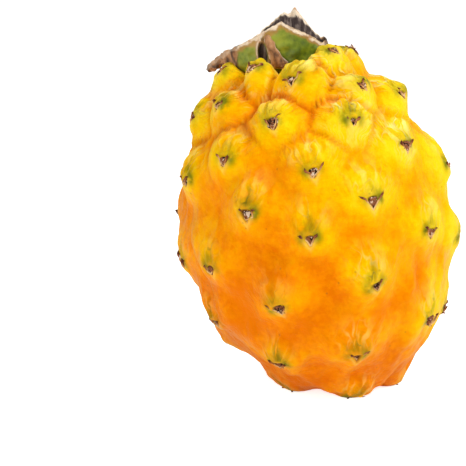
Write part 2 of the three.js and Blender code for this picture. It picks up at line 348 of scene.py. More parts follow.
    def tubercle(self, areole: Areole) -> Tubercle:
        """Work out the tubercle over an areole.

        Args:
            areole: The areole.

        Returns:
            Its tubercle.
        """
        polar = areole.polar
        crest = float(self.size_at(self.crests, polar)) + areole.up
        radius = self.waist_radius * math.sin(polar) ** self.fullness
        point, across, up, out = self.egg_frame(
            np.float64(areole.azimuth + areole.aside / radius),
            np.float64(polar - crest / self.spread_radius),
        )
        upturn = float(self.size_at(self.upturns, polar))
        direction = out * (1 - abs(upturn)) + np.array([0, 0, upturn])
        return Tubercle(
            height=float(self.size_at(self.heights, polar)) * areole.height,
            side=float(self.size_at(self.sides, polar)) * areole.width,
            stemward=float(self.size_at(self.stemwards, polar)),
            footward=float(self.size_at(self.footwards, polar)),
            bluntness=float(self.size_at(self.bluntnesses, polar)),
            point=point, across=across, up=up, out=out, direction=unit(direction),
        )

    def skin(self, azimuth: Array, polar: Array) -> tuple[Array, Array, Array]:
        """Find points of the skin on the fruit's upright axis.

        Args:
            azimuth: Radians round from the front.
            polar: Radians down from the stem end.

        Returns:
            The points, how far each is raised from the egg shape, and how nearly two
            tubercles share it, up to 1 on the line where they meet.
        """
        egg, _across, _up, out = self.egg_frame(azimuth, polar)
        crease = self.size_at(self.creases, polar)
        # A faint start, so that it has a direction between tubercles too
        direction = out * 1e-6
        total = np.zeros(np.shape(azimuth))
        first, second = total, total
        for t in self.tubercles:
            offset = egg - t.point
            x, y, z = offset @ t.across, offset @ t.up, offset @ t.out
            half_width = t.side * (1 + self.taper * np.tanh(y / self.taper_reach))
            along = y / np.where(y > 0, t.stemward, t.footward)
            away = (x / half_width) ** 2 + along**2 + self.outward_share * (z / t.side) ** 2
            lift = t.height * np.exp(-(away**t.bluntness))
            second = np.maximum(second, np.minimum(first, lift))
            first = np.maximum(first, lift)
            weight = lift**crease
            total = total + weight
            direction = direction + t.direction * weight[..., None]
        rise = total ** (1 / crease)
        shared = second / np.maximum(first, self.least_lift)
        return egg + unit(direction) * rise[..., None], rise, shared

    def stand(self, points: Array) -> Array:
        """Lean points of the upright fruit, with its foot kept level, and set it in place.

        Args:
            points: Points of the upright fruit.

        Returns:
            The same points, standing.
        """
        share = smooth_step(points[..., 2], self.lean_from, self.lean_full)
        x, y, z = points[..., 0], points[..., 1], points[..., 2]
        leant_x = x * (1 - (1 - math.cos(self.lean)) * share) - z * math.sin(self.lean)
        leant_z = z * math.cos(self.lean) + x * math.sin(self.lean) * share
        standing_z = leant_z - self.foot_lowest - self.flat_spot_depth
        to_x, to_y = self.foot_from_middle
        return np.stack([leant_x + to_x, y + to_y, standing_z], axis=-1)

    def standing_skin(self, azimuth: Array, polar: Array) -> Array:
        """Find points of the skin as the fruit stands."""
        return self.stand(self.skin(azimuth, polar)[0])


@dataclass(frozen=True)
class AreoleMark:
    """An areole's place on the skin, and its own small differences.

    Attributes:
        areole: The areole.
        point: Where it is.
        side, stemward, out: Its directions, turned a little about out.
        per_azimuth, per_polar: How far the skin goes there in a radian.
        turn: How far it is turned about out.
        size: How large its scar is beside the others.
        vigour: How strongly its creases and colours show, from 0 to 1.
        phase: A number that sets its wrinkles apart.
    """

    areole: Areole
    point: Array
    side: Array
    stemward: Array
    out: Array
    per_azimuth: float
    per_polar: float
    turn: float
    size: float
    vigour: float
    phase: float

    def skin_at(self, form: FruitForm, u: Array, v: Array) -> Array:
        """Find the skin's points beside this areole.

        Args:
            form: The fruit's form.
            u: How far to the side.
            v: How far towards the stem end.

        Returns:
            The points, before any fine relief.
        """
        across = u * math.cos(self.turn) - v * math.sin(self.turn)
        along = u * math.sin(self.turn) + v * math.cos(self.turn)
        azimuth = self.areole.azimuth + across / self.per_azimuth
        polar = self.areole.polar - along / self.per_polar
        return form.standing_skin(azimuth, polar)


def mark_areoles(form: FruitForm, seed: int = 11) -> list[AreoleMark]:
    """Find each areole's place on the skin and draw its differences.

    Args:
        form: The fruit's form.
        seed: The number that the draw starts from.

    Returns:
        A mark for each areole.
    """
    draw = np.random.default_rng(seed)
    step = 0.02
    most_turn = 14
    sizes, vigours, phases = (0.85, 1.2), (0.3, 1), (0, 6)
    marks = []
    for areole in form.areoles:
        turn = math.radians(draw.uniform(-most_turn, most_turn))
        size, vigour, phase = (draw.uniform(*limits) for limits in (sizes, vigours, phases))
        azimuths = np.array([0, -step, step, 0, 0]) + areole.azimuth
        polars = np.array([0, 0, 0, step, -step]) + areole.polar
        point, left, right, below, above = form.standing_skin(azimuths, polars)
        across, up = right - left, above - below
        out = unit(np.cross(across, up))
        straight_up = unit(up)
        straight_side = np.cross(straight_up, out)
        marks.append(AreoleMark(
            areole, point,
            side=straight_side * math.cos(turn) + straight_up * math.sin(turn),
            stemward=straight_up * math.cos(turn) - straight_side * math.sin(turn),
            out=out,
            per_azimuth=float(np.linalg.norm(across)) / (2 * step),
            per_polar=float(np.linalg.norm(up)) / (2 * step),
            turn=turn, size=size, vigour=vigour, phase=phase,
        ))
    return marks


@dataclass(frozen=True)
class ScarShape:
    """The three-cornered outline of an areole's scar, with one corner to the foot.

    Attributes:
        half_width: Half the width between its two upper corners.
        top, tip: How far its upper side and its foot corner are from the areole.
        sharpness: How sharp its corners are.
    """

    half_width: float = 1.75
    top: float = 1.15
    tip: float = 1.75
    sharpness: float = 1.9

    def outside(self, u: Array, v: Array, size: float) -> Array:
        """Tell how far outside the outline points are.

        Args:
            u: How far to the side they are.
            v: How far towards the stem end.
            size: The scar's size beside the plain one.

        Returns:
            The distance for each, which is negative inside.
        """
        width, top, tip = self.half_width * size, self.top * size, self.tip * size
        slope = math.hypot(width, top + tip)
        edge = (np.abs(u) * (top + tip) - (v + tip) * width) / slope
        both = np.exp(self.sharpness * (v - top)) + np.exp(self.sharpness * edge)
        return np.log(both) / self.sharpness


def new_object(name: str, bm: BMesh, material: Material) -> Object:
    """Make an object of a bmesh in metres, smooth, with one material.

    Args:
        name: The object's name.
        bm: The bmesh, which is freed.
        material: The object's material.

    Returns:
        The object, in the scene.
    """
    mesh = bpy.data.meshes.new(name)
    bm.to_mesh(mesh)
    bm.free()
    mesh.polygons.foreach_set("use_smooth", [True] * len(mesh.polygons))
    mesh.materials.append(material)
    made = bpy.data.objects.new(name, mesh)
    bpy.context.scene.collection.objects.link(made)
    logger.info("%s: %d faces", name, len(mesh.polygons))
    return made


def ride_as_part(piece: Object) -> None:
    """Make a piece ride on the fruit's one body."""
    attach(piece, "root")


def start_mesh(*value_names: str) -> BMesh:
    """Start a bmesh whose vertices can hold the named values."""
    bm = bmesh.new()
    for name in value_names:
        bm.verts.layers.float.new(name)
    return bm


def coordinates(bm: BMesh) -> Array:
    """Read a bmesh's points, one in each row."""
    return np.array([v.co for v in bm.verts], dtype=float).reshape(-1, 3)


def place(verts: list[BMVert], points: Array) -> None:
    """Move vertices to points in millimetres."""
    for vert, point in zip(verts, points * MM):
        vert.co = point


def add_strip(
    bm: BMesh, columns: int, rows: int, shape: Callable[[Array, Array], tuple[Array, Masks]]
) -> None:
    """Add a grid whose points a formula places, and close it where points meet.

    Args:
        bm: The bmesh that it is added to.
        columns: How many faces it has along s.
        rows: How many faces it has along t.
        shape: Gives points and vertex values for s and t, which go from 0 to 1.
    """
    made = bmesh.ops.create_grid(bm, x_segments=columns, y_segments=rows, size=1.0)["verts"]
    flat = (np.array([v.co for v in made]) + 1) / 2
    points, values = shape(flat[:, 0], flat[:, 1])
    place(made, points)
    for name, list_of_values in values.items():
        layer = bm.verts.layers.float[name]
        for vert, value in zip(made, list_of_values):
            vert[layer] = value
    faces = list({face for vert in made for face in vert.link_faces})
    bmesh.ops.remove_doubles(bm, verts=made, dist=0.01 * MM)
    bmesh.ops.recalc_face_normals(bm, faces=[face for face in faces if face.is_valid])


def along_path(path: Array, share: Array) -> Array:
    """Read a path of points evenly by its length.

    Args:
        path: The path's points, one in each row.
        share: How far along it to read, from 0 to 1.

    Returns:
        A point for each share.
    """
    lengths = np.concatenate([[0], np.cumsum(np.linalg.norm(np.diff(path, axis=0), axis=1))])
    lengths /= lengths[-1]
    return np.stack([np.interp(share, lengths, path[:, k]) for k in range(3)], axis=-1)


class Nodes:
    """A short way to write a material's or a group's nodes."""

    def __init__(self, tree: NodeTree) -> None:
        """Keep the tree that nodes are added to."""
        self.tree = tree

    def add(self, kind: str, **settings: object) -> Node:
        """Add a node of a kind, such as TexNoise, with its settings."""
        node = self.tree.nodes.new("ShaderNode" + kind)
        for name, value in settings.items():
            setattr(node, name, value)
        return node

    def feed(self, socket: NodeSocket, value: object) -> None:
        """Link a socket to an output, or set its plain value."""
        if isinstance(value, NodeSocket):
            self.tree.links.new(value, socket)
        else:
            socket.default_value = value

    def feed_all(self, node: Node, values: dict[str, object]) -> None:
        """Link or set a node's inputs by their names."""
        for name, value in values.items():
            self.feed(node.inputs[name], value)

    def math(self, operation: str, *values: object) -> NodeSocket:
        """Add a Math node and give its result."""
        node = self.add("Math", operation=operation)
        for socket, value in zip(node.inputs, values):
            self.feed(socket, value)
        return node.outputs[0]

    def times(self, first: object, second: object) -> NodeSocket:
        """Multiply two values."""
        return self.math("MULTIPLY", first, second)

    def larger(self, first: object, second: object) -> NodeSocket:
        """Take the larger of two values."""
        return self.math("MAXIMUM", first, second)

    def mix(self, share: object, first: object, second: object) -> NodeSocket:
        """Mix two colours and give the result."""
        node = self.add("Mix", data_type="RGBA", clamp_factor=True)
        # Its inputs 6 and 7 are the two colours
        for place_in_list, value in ((0, share), (6, first), (7, second)):
            self.feed(node.inputs[place_in_list], value)
        return node.outputs[2]

    def ramp(self, value: object, stops: list[tuple[float, tuple]]) -> NodeSocket:
        """Turn a value into a colour by stops of place and colour.

        Args:
            value: The value.
            stops: The place and colour of each stop.

        Returns:
            The colour.
        """
        node = self.add("ValToRGB")
        elements = node.color_ramp.elements
        while len(elements) < len(stops):
            elements.new(1.0)
        for element, (position, colour) in zip(elements, stops):
            element.position = position
            element.color = colour
        self.feed(node.inputs[0], value)
        return node.outputs[0]

    def span(self, value: object, low: float, high: float) -> NodeSocket:
        """Stretch a value so that low becomes 0 and high becomes 1, and cut off the rest."""
        node = self.add("MapRange", interpolation_type="SMOOTHSTEP")
        for socket, part in zip(node.inputs, (value, low, high)):
            self.feed(socket, part)
        return node.outputs[0]

    def attribute(self, name: str) -> NodeSocket:
        """Read a vertex value."""
        return self.add("Attribute", attribute_name=name).outputs["Fac"]

    def place(self) -> NodeSocket:
        """Read where the shaded point is on its object."""
        return self.add("TexCoord").outputs["Object"]

    def noise(
        self, place: object, scale: float, detail: float = 3.0, stretch: tuple = (1, 1, 1)
    ) -> NodeSocket:
        """Add noise, with features about 1/scale metres wide.

        Args:
            place: The coordinates that it reads.
            scale: How fine it is.
            detail: How many finer layers it has.
            stretch: How much finer it is along X, Y and Z.

        Returns:
            The noise, about 0 to 1.
        """
        mapping = self.add("Mapping")
        self.feed_all(mapping, {"Vector": place, "Scale": stretch})
        node = self.add("TexNoise")
        self.feed_all(node, {"Vector": mapping.outputs[0], "Scale": scale, "Detail": detail})
        return node.outputs[0]

    def group(self, group: NodeTree, **values: object) -> NodeSocket:
        """Place a node group, with its inputs set or linked by name, and give its value.

        Args:
            group: The group.
            values: What its inputs are fed, by their names.

        Returns:
            Its value.
        """
        node = self.add("Group")
        node.node_tree = group
        for name, value in values.items():
            self.feed(node.inputs[name.replace("_", " ").capitalize()], value)
        return node.outputs[0]

    def bump(self, height: object, strength: float, distance: float) -> NodeSocket:
        """Turn a height into a normal; distance is in millimetres."""
        node = self.add("Bump")
        self.feed_all(node, {"Strength": strength, "Distance": distance * MM, "Height": height})
        return node.outputs[0]


def new_group(name: str, inputs: dict[str, float], output: str) -> tuple:
    """Start a shader node group of values that reads its own object coordinates.

    Args:
        name: The group's name.
        inputs: Each input value's name and default.
        output: The output value's name.

    Returns:
        The group, a Nodes for it, its input node and its output node.
    """
    group = bpy.data.node_groups.new(name, "ShaderNodeTree")
    for label, default in inputs.items():
        socket = group.interface.new_socket(label, in_out="INPUT", socket_type="NodeSocketFloat")
        socket.default_value = default
    group.interface.new_socket(output, in_out="OUTPUT", socket_type="NodeSocketFloat")
    nodes = Nodes(group)
    start = group.nodes.new("NodeGroupInput")
    end = group.nodes.new("NodeGroupOutput")
    return group, nodes, start, end


class SharedEffects:
    """The effects that several finishes use."""

    def layers(self, nodes: Nodes, start: Node, details: dict[str, float]) -> list[NodeSocket]:
        """Add a noise for each of a group's scales.

        Args:
            nodes: The group's nodes.
            start: Its input node.
            details: How many finer layers the noise of each scale has.

        Returns:
            The noises, each about 0 to 1.
        """
        place_output = nodes.place()
        noises = []
        for label, detail in details.items():
            noise = nodes.add("TexNoise")
            inputs = {"Vector": place_output, "Scale": start.outputs[label], "Detail": detail}
            nodes.feed_all(noise, inputs)
            noises.append(noise.outputs[0])
        return noises

    @cached_property
    def mottle(self) -> NodeTree:
        """Soft blotches in two sizes, as a value about 0 to 1."""
        group, nodes, start, end = new_group(
            "soft_mottle", {"Broad": 90.0, "Fine": 500.0, "Fine share": 0.35}, "Value"
        )
        broad, fine = self.layers(nodes, start, {"Broad": 2.0, "Fine": 4.0})
        share = nodes.times(nodes.math("SUBTRACT", fine, broad), start.outputs["Fine share"])
        nodes.feed(end.inputs[0], nodes.span(nodes.math("ADD", broad, share), 0.3, 0.7))
        return group

    @cached_property
    def grain(self) -> NodeTree:
        """A fine grained height with a coarser one under it, as a value about 0 to 1."""
        group, nodes, start, end = new_group(
            "fine_grain", {"Coarse": 300.0, "Fine": 1500.0, "Fine share": 0.3}, "Height"
        )
        coarse, fine = self.layers(nodes, start, {"Coarse": 3.0, "Fine": 3.0})
        share = nodes.times(fine, start.outputs["Fine share"])
        nodes.feed(end.inputs[0], nodes.math("ADD", coarse, share))
        return group


def new_material(name: str) -> tuple[Material, Nodes, Node]:
    """Start a material and give it, its Nodes and its Principled shader."""
    material = bpy.data.materials.new(name)
    material.use_nodes = True
    return material, Nodes(material.node_tree), material.node_tree.nodes["Principled BSDF"]


@dataclass(frozen=True)
class SkinFinish:
    """Waxy golden skin: orange in the hollows as painted shade, pale on the crests as painted
    highlight, green beside the scars.

    Attributes:
        sheen, rim: The tints of its gloss, and of the soft sheen at its edges.
        uneven_roughness: How much the mottle changes its roughness.
        rise_share, mottle_share: How much each adds to the value that sets the colour; the rise's share
            paints shade in the hollows and a highlight on the crests.
        crevice_shade_share, deep_share, speck_share: How strongly these colours show.
        blotch_scale, speck_scale, wobble_scale: How fine the green's blotches, the dark
            specks and the streaks' wavering are.
        wobble: How far the streaks waver to the side.
        fan: How much wider they are for each millimetre towards the stem end.
        along_share: How little a distance along them counts, which draws them out.
        streak_height, line_height, grain_height: What each adds to the fine relief.
    """

    effects: SharedEffects
    # Painted shade, mixed in by the shade mask in creases and round the arches
    crevice_shade: tuple = srgb(196, 92, 0)
    deep: tuple = srgb(232, 120, 0)
    orange: tuple = srgb(245, 144, 0)
    gold: tuple = srgb(251, 170, 0)
    yellow: tuple = srgb(254, 196, 0)
    pale: tuple = srgb(255, 217, 22)
    # Painted highlight, in cream, on the crests and the upper right
    cream_highlight: tuple = srgb(255, 236, 136)
    green: tuple = srgb(120, 122, 10)
    olive: tuple = srgb(112, 104, 20)
    lip: tuple = srgb(255, 216, 110)
    # The scar's own dark brown, made darker to paint the shade round each felt pad
    scar: tuple = srgb(88, 54, 32)
    speck: tuple = srgb(128, 84, 40)
    sheen: tuple = srgb(255, 214, 48)
    rim: tuple = srgb(255, 226, 110)
    roughness: float = 0.44
    uneven_roughness: float = 0.16
    rise_share: float = 0.7
    mottle_share: float = 0.34
    crevice_shade_share: float = 0.7
    deep_share: float = 0.34
    speck_share: float = 0.3
    blotch_scale: float = 380.0
    speck_scale: float = 170.0
    wobble_scale: float = 160.0
    wobble: float = 5.0
    fan: float = 0.12
    along_share: float = 0.14
    streak_height: float = 4.6
    line_height: float = 0.7
    grain_height: float = 1.3

    def streaks(self, nodes: Nodes) -> tuple[NodeSocket, ...]:
        """Add fine streaks and thin lines that fan out from each areole towards the stem end.

        Args:
            nodes: The material's nodes.

        Returns:
            The streaks and the lines, each about 0 to 1, and how strongly they show.
        """
        wobble = nodes.times(nodes.noise(nodes.place(), self.wobble_scale, 2.0), self.wobble)
        across = nodes.math("ADD", nodes.attribute("across"), wobble)
        along = nodes.attribute("along")
        spread = nodes.larger(nodes.math("MULTIPLY_ADD", along, self.fan, 1.0), 0.5)
        fanned = nodes.add("CombineXYZ")
        parts = (
            nodes.math("DIVIDE", across, spread),
            nodes.times(along, self.along_share),
            nodes.attribute("phase"),
        )
        for socket, part in zip(fanned.inputs, parts):
            nodes.feed(socket, part)
        streaks = nodes.noise(fanned.outputs[0], 0.95, 2.0)
        wavy = nodes.noise(fanned.outputs[0], 0.62, 1.0, (1.0, 1.6, 1.3))
        from_middle = nodes.math("ABSOLUTE", nodes.math("SUBTRACT", wavy, 0.5))
        lines = nodes.span(from_middle, 0.04, 0.008)
        shown = nodes.times(nodes.span(along, 0.5, 3.5), nodes.attribute("streaked"))
        return streaks, lines, shown

    def ripe_and_shaded_colour(self, nodes: Nodes, mottle: NodeSocket) -> NodeSocket:
        """Add the colour from the hollows' orange to the crests' pale yellow, which paints shade in the
        hollows and a highlight on the crests.

        Args:
            nodes: The material's nodes.
            mottle: The skin's mottle.

        Returns:
            The colour.
        """
        # The rise paints shade into the hollows and a highlight onto the crests
        ripeness_and_shade = nodes.math("MULTIPLY_ADD", nodes.attribute("rise"), self.rise_share, -0.05)
        ripeness_and_shade = nodes.math("ADD", ripeness_and_shade, nodes.attribute("tone"))
        ripeness_and_shade = nodes.math("MULTIPLY_ADD", mottle, self.mottle_share, ripeness_and_shade)
        stops = [
            (0.06, self.deep), (0.26, self.orange), (0.48, self.gold), (0.7, self.yellow),
            (0.95, self.pale),
        ]
        return nodes.ramp(ripeness_and_shade, stops)

    def specks(self, nodes: Nodes) -> NodeSocket:
        """Add small dark specks, and give how much of one each point has."""
        cells = nodes.add("TexVoronoi")
        nodes.feed_all(cells, {"Vector": nodes.place(), "Scale": self.speck_scale})
        return nodes.times(nodes.span(cells.outputs["Distance"], 0.075, 0.03), self.speck_share)

    def material(self) -> Material:
        """Build the material.

        Returns:
            The material.
        """
        material, nodes, shader = new_material("fruit_skin")
        mottle = nodes.group(self.effects.mottle, broad=110.0, fine=640.0, fine_share=0.38)
        streaks, lines, streaked = self.streaks(nodes)
        pale_line = nodes.larger(nodes.span(streaks, 0.49, 0.6), lines)
        deep_line = nodes.times(nodes.span(streaks, 0.46, 0.36), streaked)
        blotch = nodes.noise(nodes.place(), self.blotch_scale, 2.0)
        vein = nodes.larger(nodes.times(nodes.span(streaks, 0.56, 0.44), 0.75), lines)
        coats = (
            # Painted highlight: cream along the pale lines where the highlight mask shows
            (nodes.times(pale_line, nodes.attribute("cream_highlight")), self.cream_highlight),
            (nodes.times(nodes.attribute("shade"), self.crevice_shade_share), self.crevice_shade),
            (nodes.times(deep_line, self.deep_share), self.deep),
            (nodes.times(nodes.attribute("green"), nodes.span(blotch, 0.2, 0.52)), self.green),
            (nodes.times(nodes.attribute("vein"), vein), self.olive),
            (nodes.attribute("lip"), self.lip),
            (self.specks(nodes), self.speck),
            (nodes.attribute("scar"), self.scar),
        )
        colour = self.ripe_and_shaded_colour(nodes, mottle)
        for share, coat in coats:
            colour = nodes.mix(share, colour, coat)
        smoothest = self.roughness - self.uneven_roughness / 2
        rough = nodes.math("MULTIPLY_ADD", mottle, self.uneven_roughness, smoothest)
        grain = nodes.group(self.effects.grain, coarse=380.0, fine=1400.0, fine_share=0.5)
        lines_height = nodes.times(lines, self.line_height)
        raised = nodes.math("MULTIPLY_ADD", streaks, self.streak_height, lines_height)
        height = nodes.math("MULTIPLY_ADD", grain, self.grain_height, nodes.times(raised, streaked))
        nodes.feed_all(shader, {
            "Base Color": colour,
            "Roughness": nodes.larger(rough, nodes.attribute("scar")),
            "Normal": nodes.bump(height, 0.7, 0.5),
            "Specular IOR Level": 0.06,
            "Specular Tint": self.sheen,
            "Sheen Weight": 0.3,
            "Sheen Roughness": 0.35,
            "Sheen Tint": self.rim,
            "Subsurface Weight": 0.2,
            "Subsurface Radius": (1.0, 0.5, 0.08),
            "Subsurface Scale": 1.8 * MM,
        })
        return material


@dataclass(frozen=True)
class FeltFinish:
    """The felt of an areole: warm brown, with dark pits and pale fuzz."""

    effects: SharedEffects
    brown: tuple = srgb(142, 84, 52)
    dark: tuple = srgb(46, 22, 12)
    fuzz: tuple = srgb(232, 204, 176)

    def material(self) -> Material:
        """Build the material.

        Returns:
            The material.
        """
        material, nodes, shader = new_material("areole_felt")
        place_output = nodes.place()
        pits = nodes.span(nodes.noise(place_output, 820.0, 2.0), 0.5, 0.43)
        fuzz = nodes.span(nodes.noise(place_output, 950.0, 2.0, (1.0, 1.0, 0.7)), 0.59, 0.64)
        grain = nodes.group(self.effects.grain, coarse=900.0, fine=3200.0, fine_share=0.6)
        nodes.feed_all(shader, {
            "Base Color": nodes.mix(fuzz, nodes.mix(pits, self.brown, self.dark), self.fuzz),
            "Roughness": 0.92,
            "Specular IOR Level": 0.2,
            "Normal": nodes.bump(grain, 0.9, 0.5),
        })
        return material


@dataclass(frozen=True)
class DryFinish:
    """Dry plant matter, from pale to brown by how browned its vertices are."""

    effects: SharedEffects
    name: str
    pale: tuple
    middle: tuple
    brown: tuple

    def material(self) -> Material:
        """Build the material.

        Returns:
            The material.
        """
        material, nodes, shader = new_material(self.name)
        mottle = nodes.group(self.effects.mottle, broad=500.0, fine=1800.0, fine_share=0.5)
        dryness = nodes.math("MULTIPLY_ADD", mottle, 0.5, nodes.attribute("browned"))
        grain = nodes.group(self.effects.grain, coarse=1200.0, fine=4000.0, fine_share=0.5)
        nodes.feed_all(shader, {
            "Base Color": nodes.ramp(
                dryness, [(0.2, self.pale), (0.65, self.middle), (1.1, self.brown)]
            ),
            "Roughness": 0.8,
            "Specular IOR Level": 0.25,
            "Normal": nodes.bump(grain, 0.6, 0.2),
        })
        return material


@dataclass(frozen=True)
class StemFinish:
    """The cut stem: green rind, corky rims, dark fibrous pith and dry brown ends."""

    effects: SharedEffects
    dark_green: tuple = srgb(56, 76, 6)
    green: tuple = srgb(104, 124, 14)
    light_green: tuple = srgb(150, 160, 40)
    rust: tuple = srgb(176, 128, 56)
    cork: tuple = srgb(236, 216, 188)
    cork_brown: tuple = srgb(196, 152, 112)
    pith: tuple = srgb(58, 44, 40)
    fibre: tuple = srgb(122, 106, 96)
    dry: tuple = srgb(160, 112, 72)
    dry_red: tuple = srgb(194, 144, 100)
    dry_dark: tuple = srgb(72, 46, 28)
    fresh_roughness: float = 0.45
    worn_roughness: float = 0.9

    def material(self) -> Material:
        """Build the material.

        Returns:
            The material.
        """
        material, nodes, shader = new_material("cut_stem")
        place_output = nodes.place()
        mottle = nodes.group(self.effects.mottle, broad=120.0, fine=900.0, fine_share=0.3)
        strands = nodes.noise(place_output, 1150.0, 3.0, (1.0, 0.5, 0.16))
        brown = nodes.ramp(
            nodes.noise(place_output, 420.0, 4.0, (1.0, 1.0, 0.6)),
            [(0.32, self.dry_dark), (0.47, self.dry), (0.6, self.dry_red), (0.7, self.cork_brown)],
        )
        pith = nodes.mix(nodes.span(strands, 0.46, 0.66), self.pith, self.fibre)
        cork = nodes.ramp(
            nodes.noise(place_output, 600.0, 3.0), [(0.32, self.cork_brown), (0.48, self.cork)]
        )
        colour = nodes.ramp(
            mottle, [(-0.2, self.dark_green), (0.45, self.green), (1.2, self.light_green)]
        )
        for mask, coat in (("edge", self.rust), ("dry", brown), ("pith", pith), ("rim", cork)):
            colour = nodes.mix(nodes.attribute(mask), colour, coat)
        worn = nodes.larger(nodes.attribute("rim"), nodes.attribute("pith"))
        worn = nodes.larger(worn, nodes.attribute("dry"))
        wear = self.worn_roughness - self.fresh_roughness
        grain = nodes.group(self.effects.grain, coarse=500.0, fine=2600.0, fine_share=0.5)
        height = nodes.times(grain, nodes.math("MULTIPLY_ADD", worn, 0.8, 0.2))
        nodes.feed_all(shader, {
            "Base Color": colour,
            "Roughness": nodes.math("MULTIPLY_ADD", worn, wear, self.fresh_roughness),
            "Normal": nodes.bump(height, 0.8, 0.4),
        })
        return material


@dataclass(frozen=True)
class FloorFinish:
    """A plain pale floor, which looks paler than the light that it throws back.

    Attributes:
        colour: Its colour.
        seen_glow: How much it glows in the picture.
        cast_glow: How much of that falls on the fruit.
    """

    colour: tuple = srgb(248, 248, 248)
    roughness: float = 0.7
    seen_glow: float = 0.8
    cast_glow: float = 0.16

    def material(self) -> Material:
        """Build the material.

        Returns:
            The material.
        """
        material, nodes, shader = new_material("pale_floor")
        seen = nodes.add("LightPath").outputs["Is Camera Ray"]
        glow = nodes.math("MULTIPLY_ADD", seen, self.seen_glow - self.cast_glow, self.cast_glow)
        nodes.feed_all(shader, {
            "Base Color": self.colour,
            "Roughness": self.roughness,
            "Emission Color": WHITE,
            "Emission Strength": glow,
        })
        return material


@dataclass(frozen=True)
class Fold:
    """A long fold in the skin, down the fruit: a valley with a ridge beside it.

    Attributes:
        route: Degrees round and down of its points.
        depth: How deep its valley is.
        width: Half the valley's width.
        ridge_side: On which side the ridge stands, 1 for the right and -1 for the left.
    """

    route: tuple[tuple[float, float], ...]
    depth: float
    width: float
    ridge_side: float


@dataclass(frozen=True)
class SkinPoints:
    """The skin's points before their fine relief, with what that goes by.

    Attributes:
        points: Where they are.
        facing: The directions that they face.
        rise: How far each is raised from the egg shape.
        shared: How nearly two tubercles share each.
        down: Degrees down from the stem end.
        tall: How tall a tubercle is there.
    """

    points: Array
    facing: Array
    rise: Array
    shared: Array
    down: Array
    tall: Array

    @cached_property
    def upper(self) -> Array:
        """1 round the stem, falling to 0 above the waist."""
        return smooth_step(self.down, 75, 34)

    @cached_property
    def broken(self) -> Array:
        """Broad patches from 0 to 1, which break up what would look too even."""
        return smooth_step(Waves(seed=13, count=14, shortest=12, longest=26).at(self.points), -0.7, 0.6)

    @cached_property
    def wander(self) -> Array:
        """A gentle unevenness that makes arches waver."""
        return Waves(seed=17, count=14, shortest=5, longest=13).at(self.points)


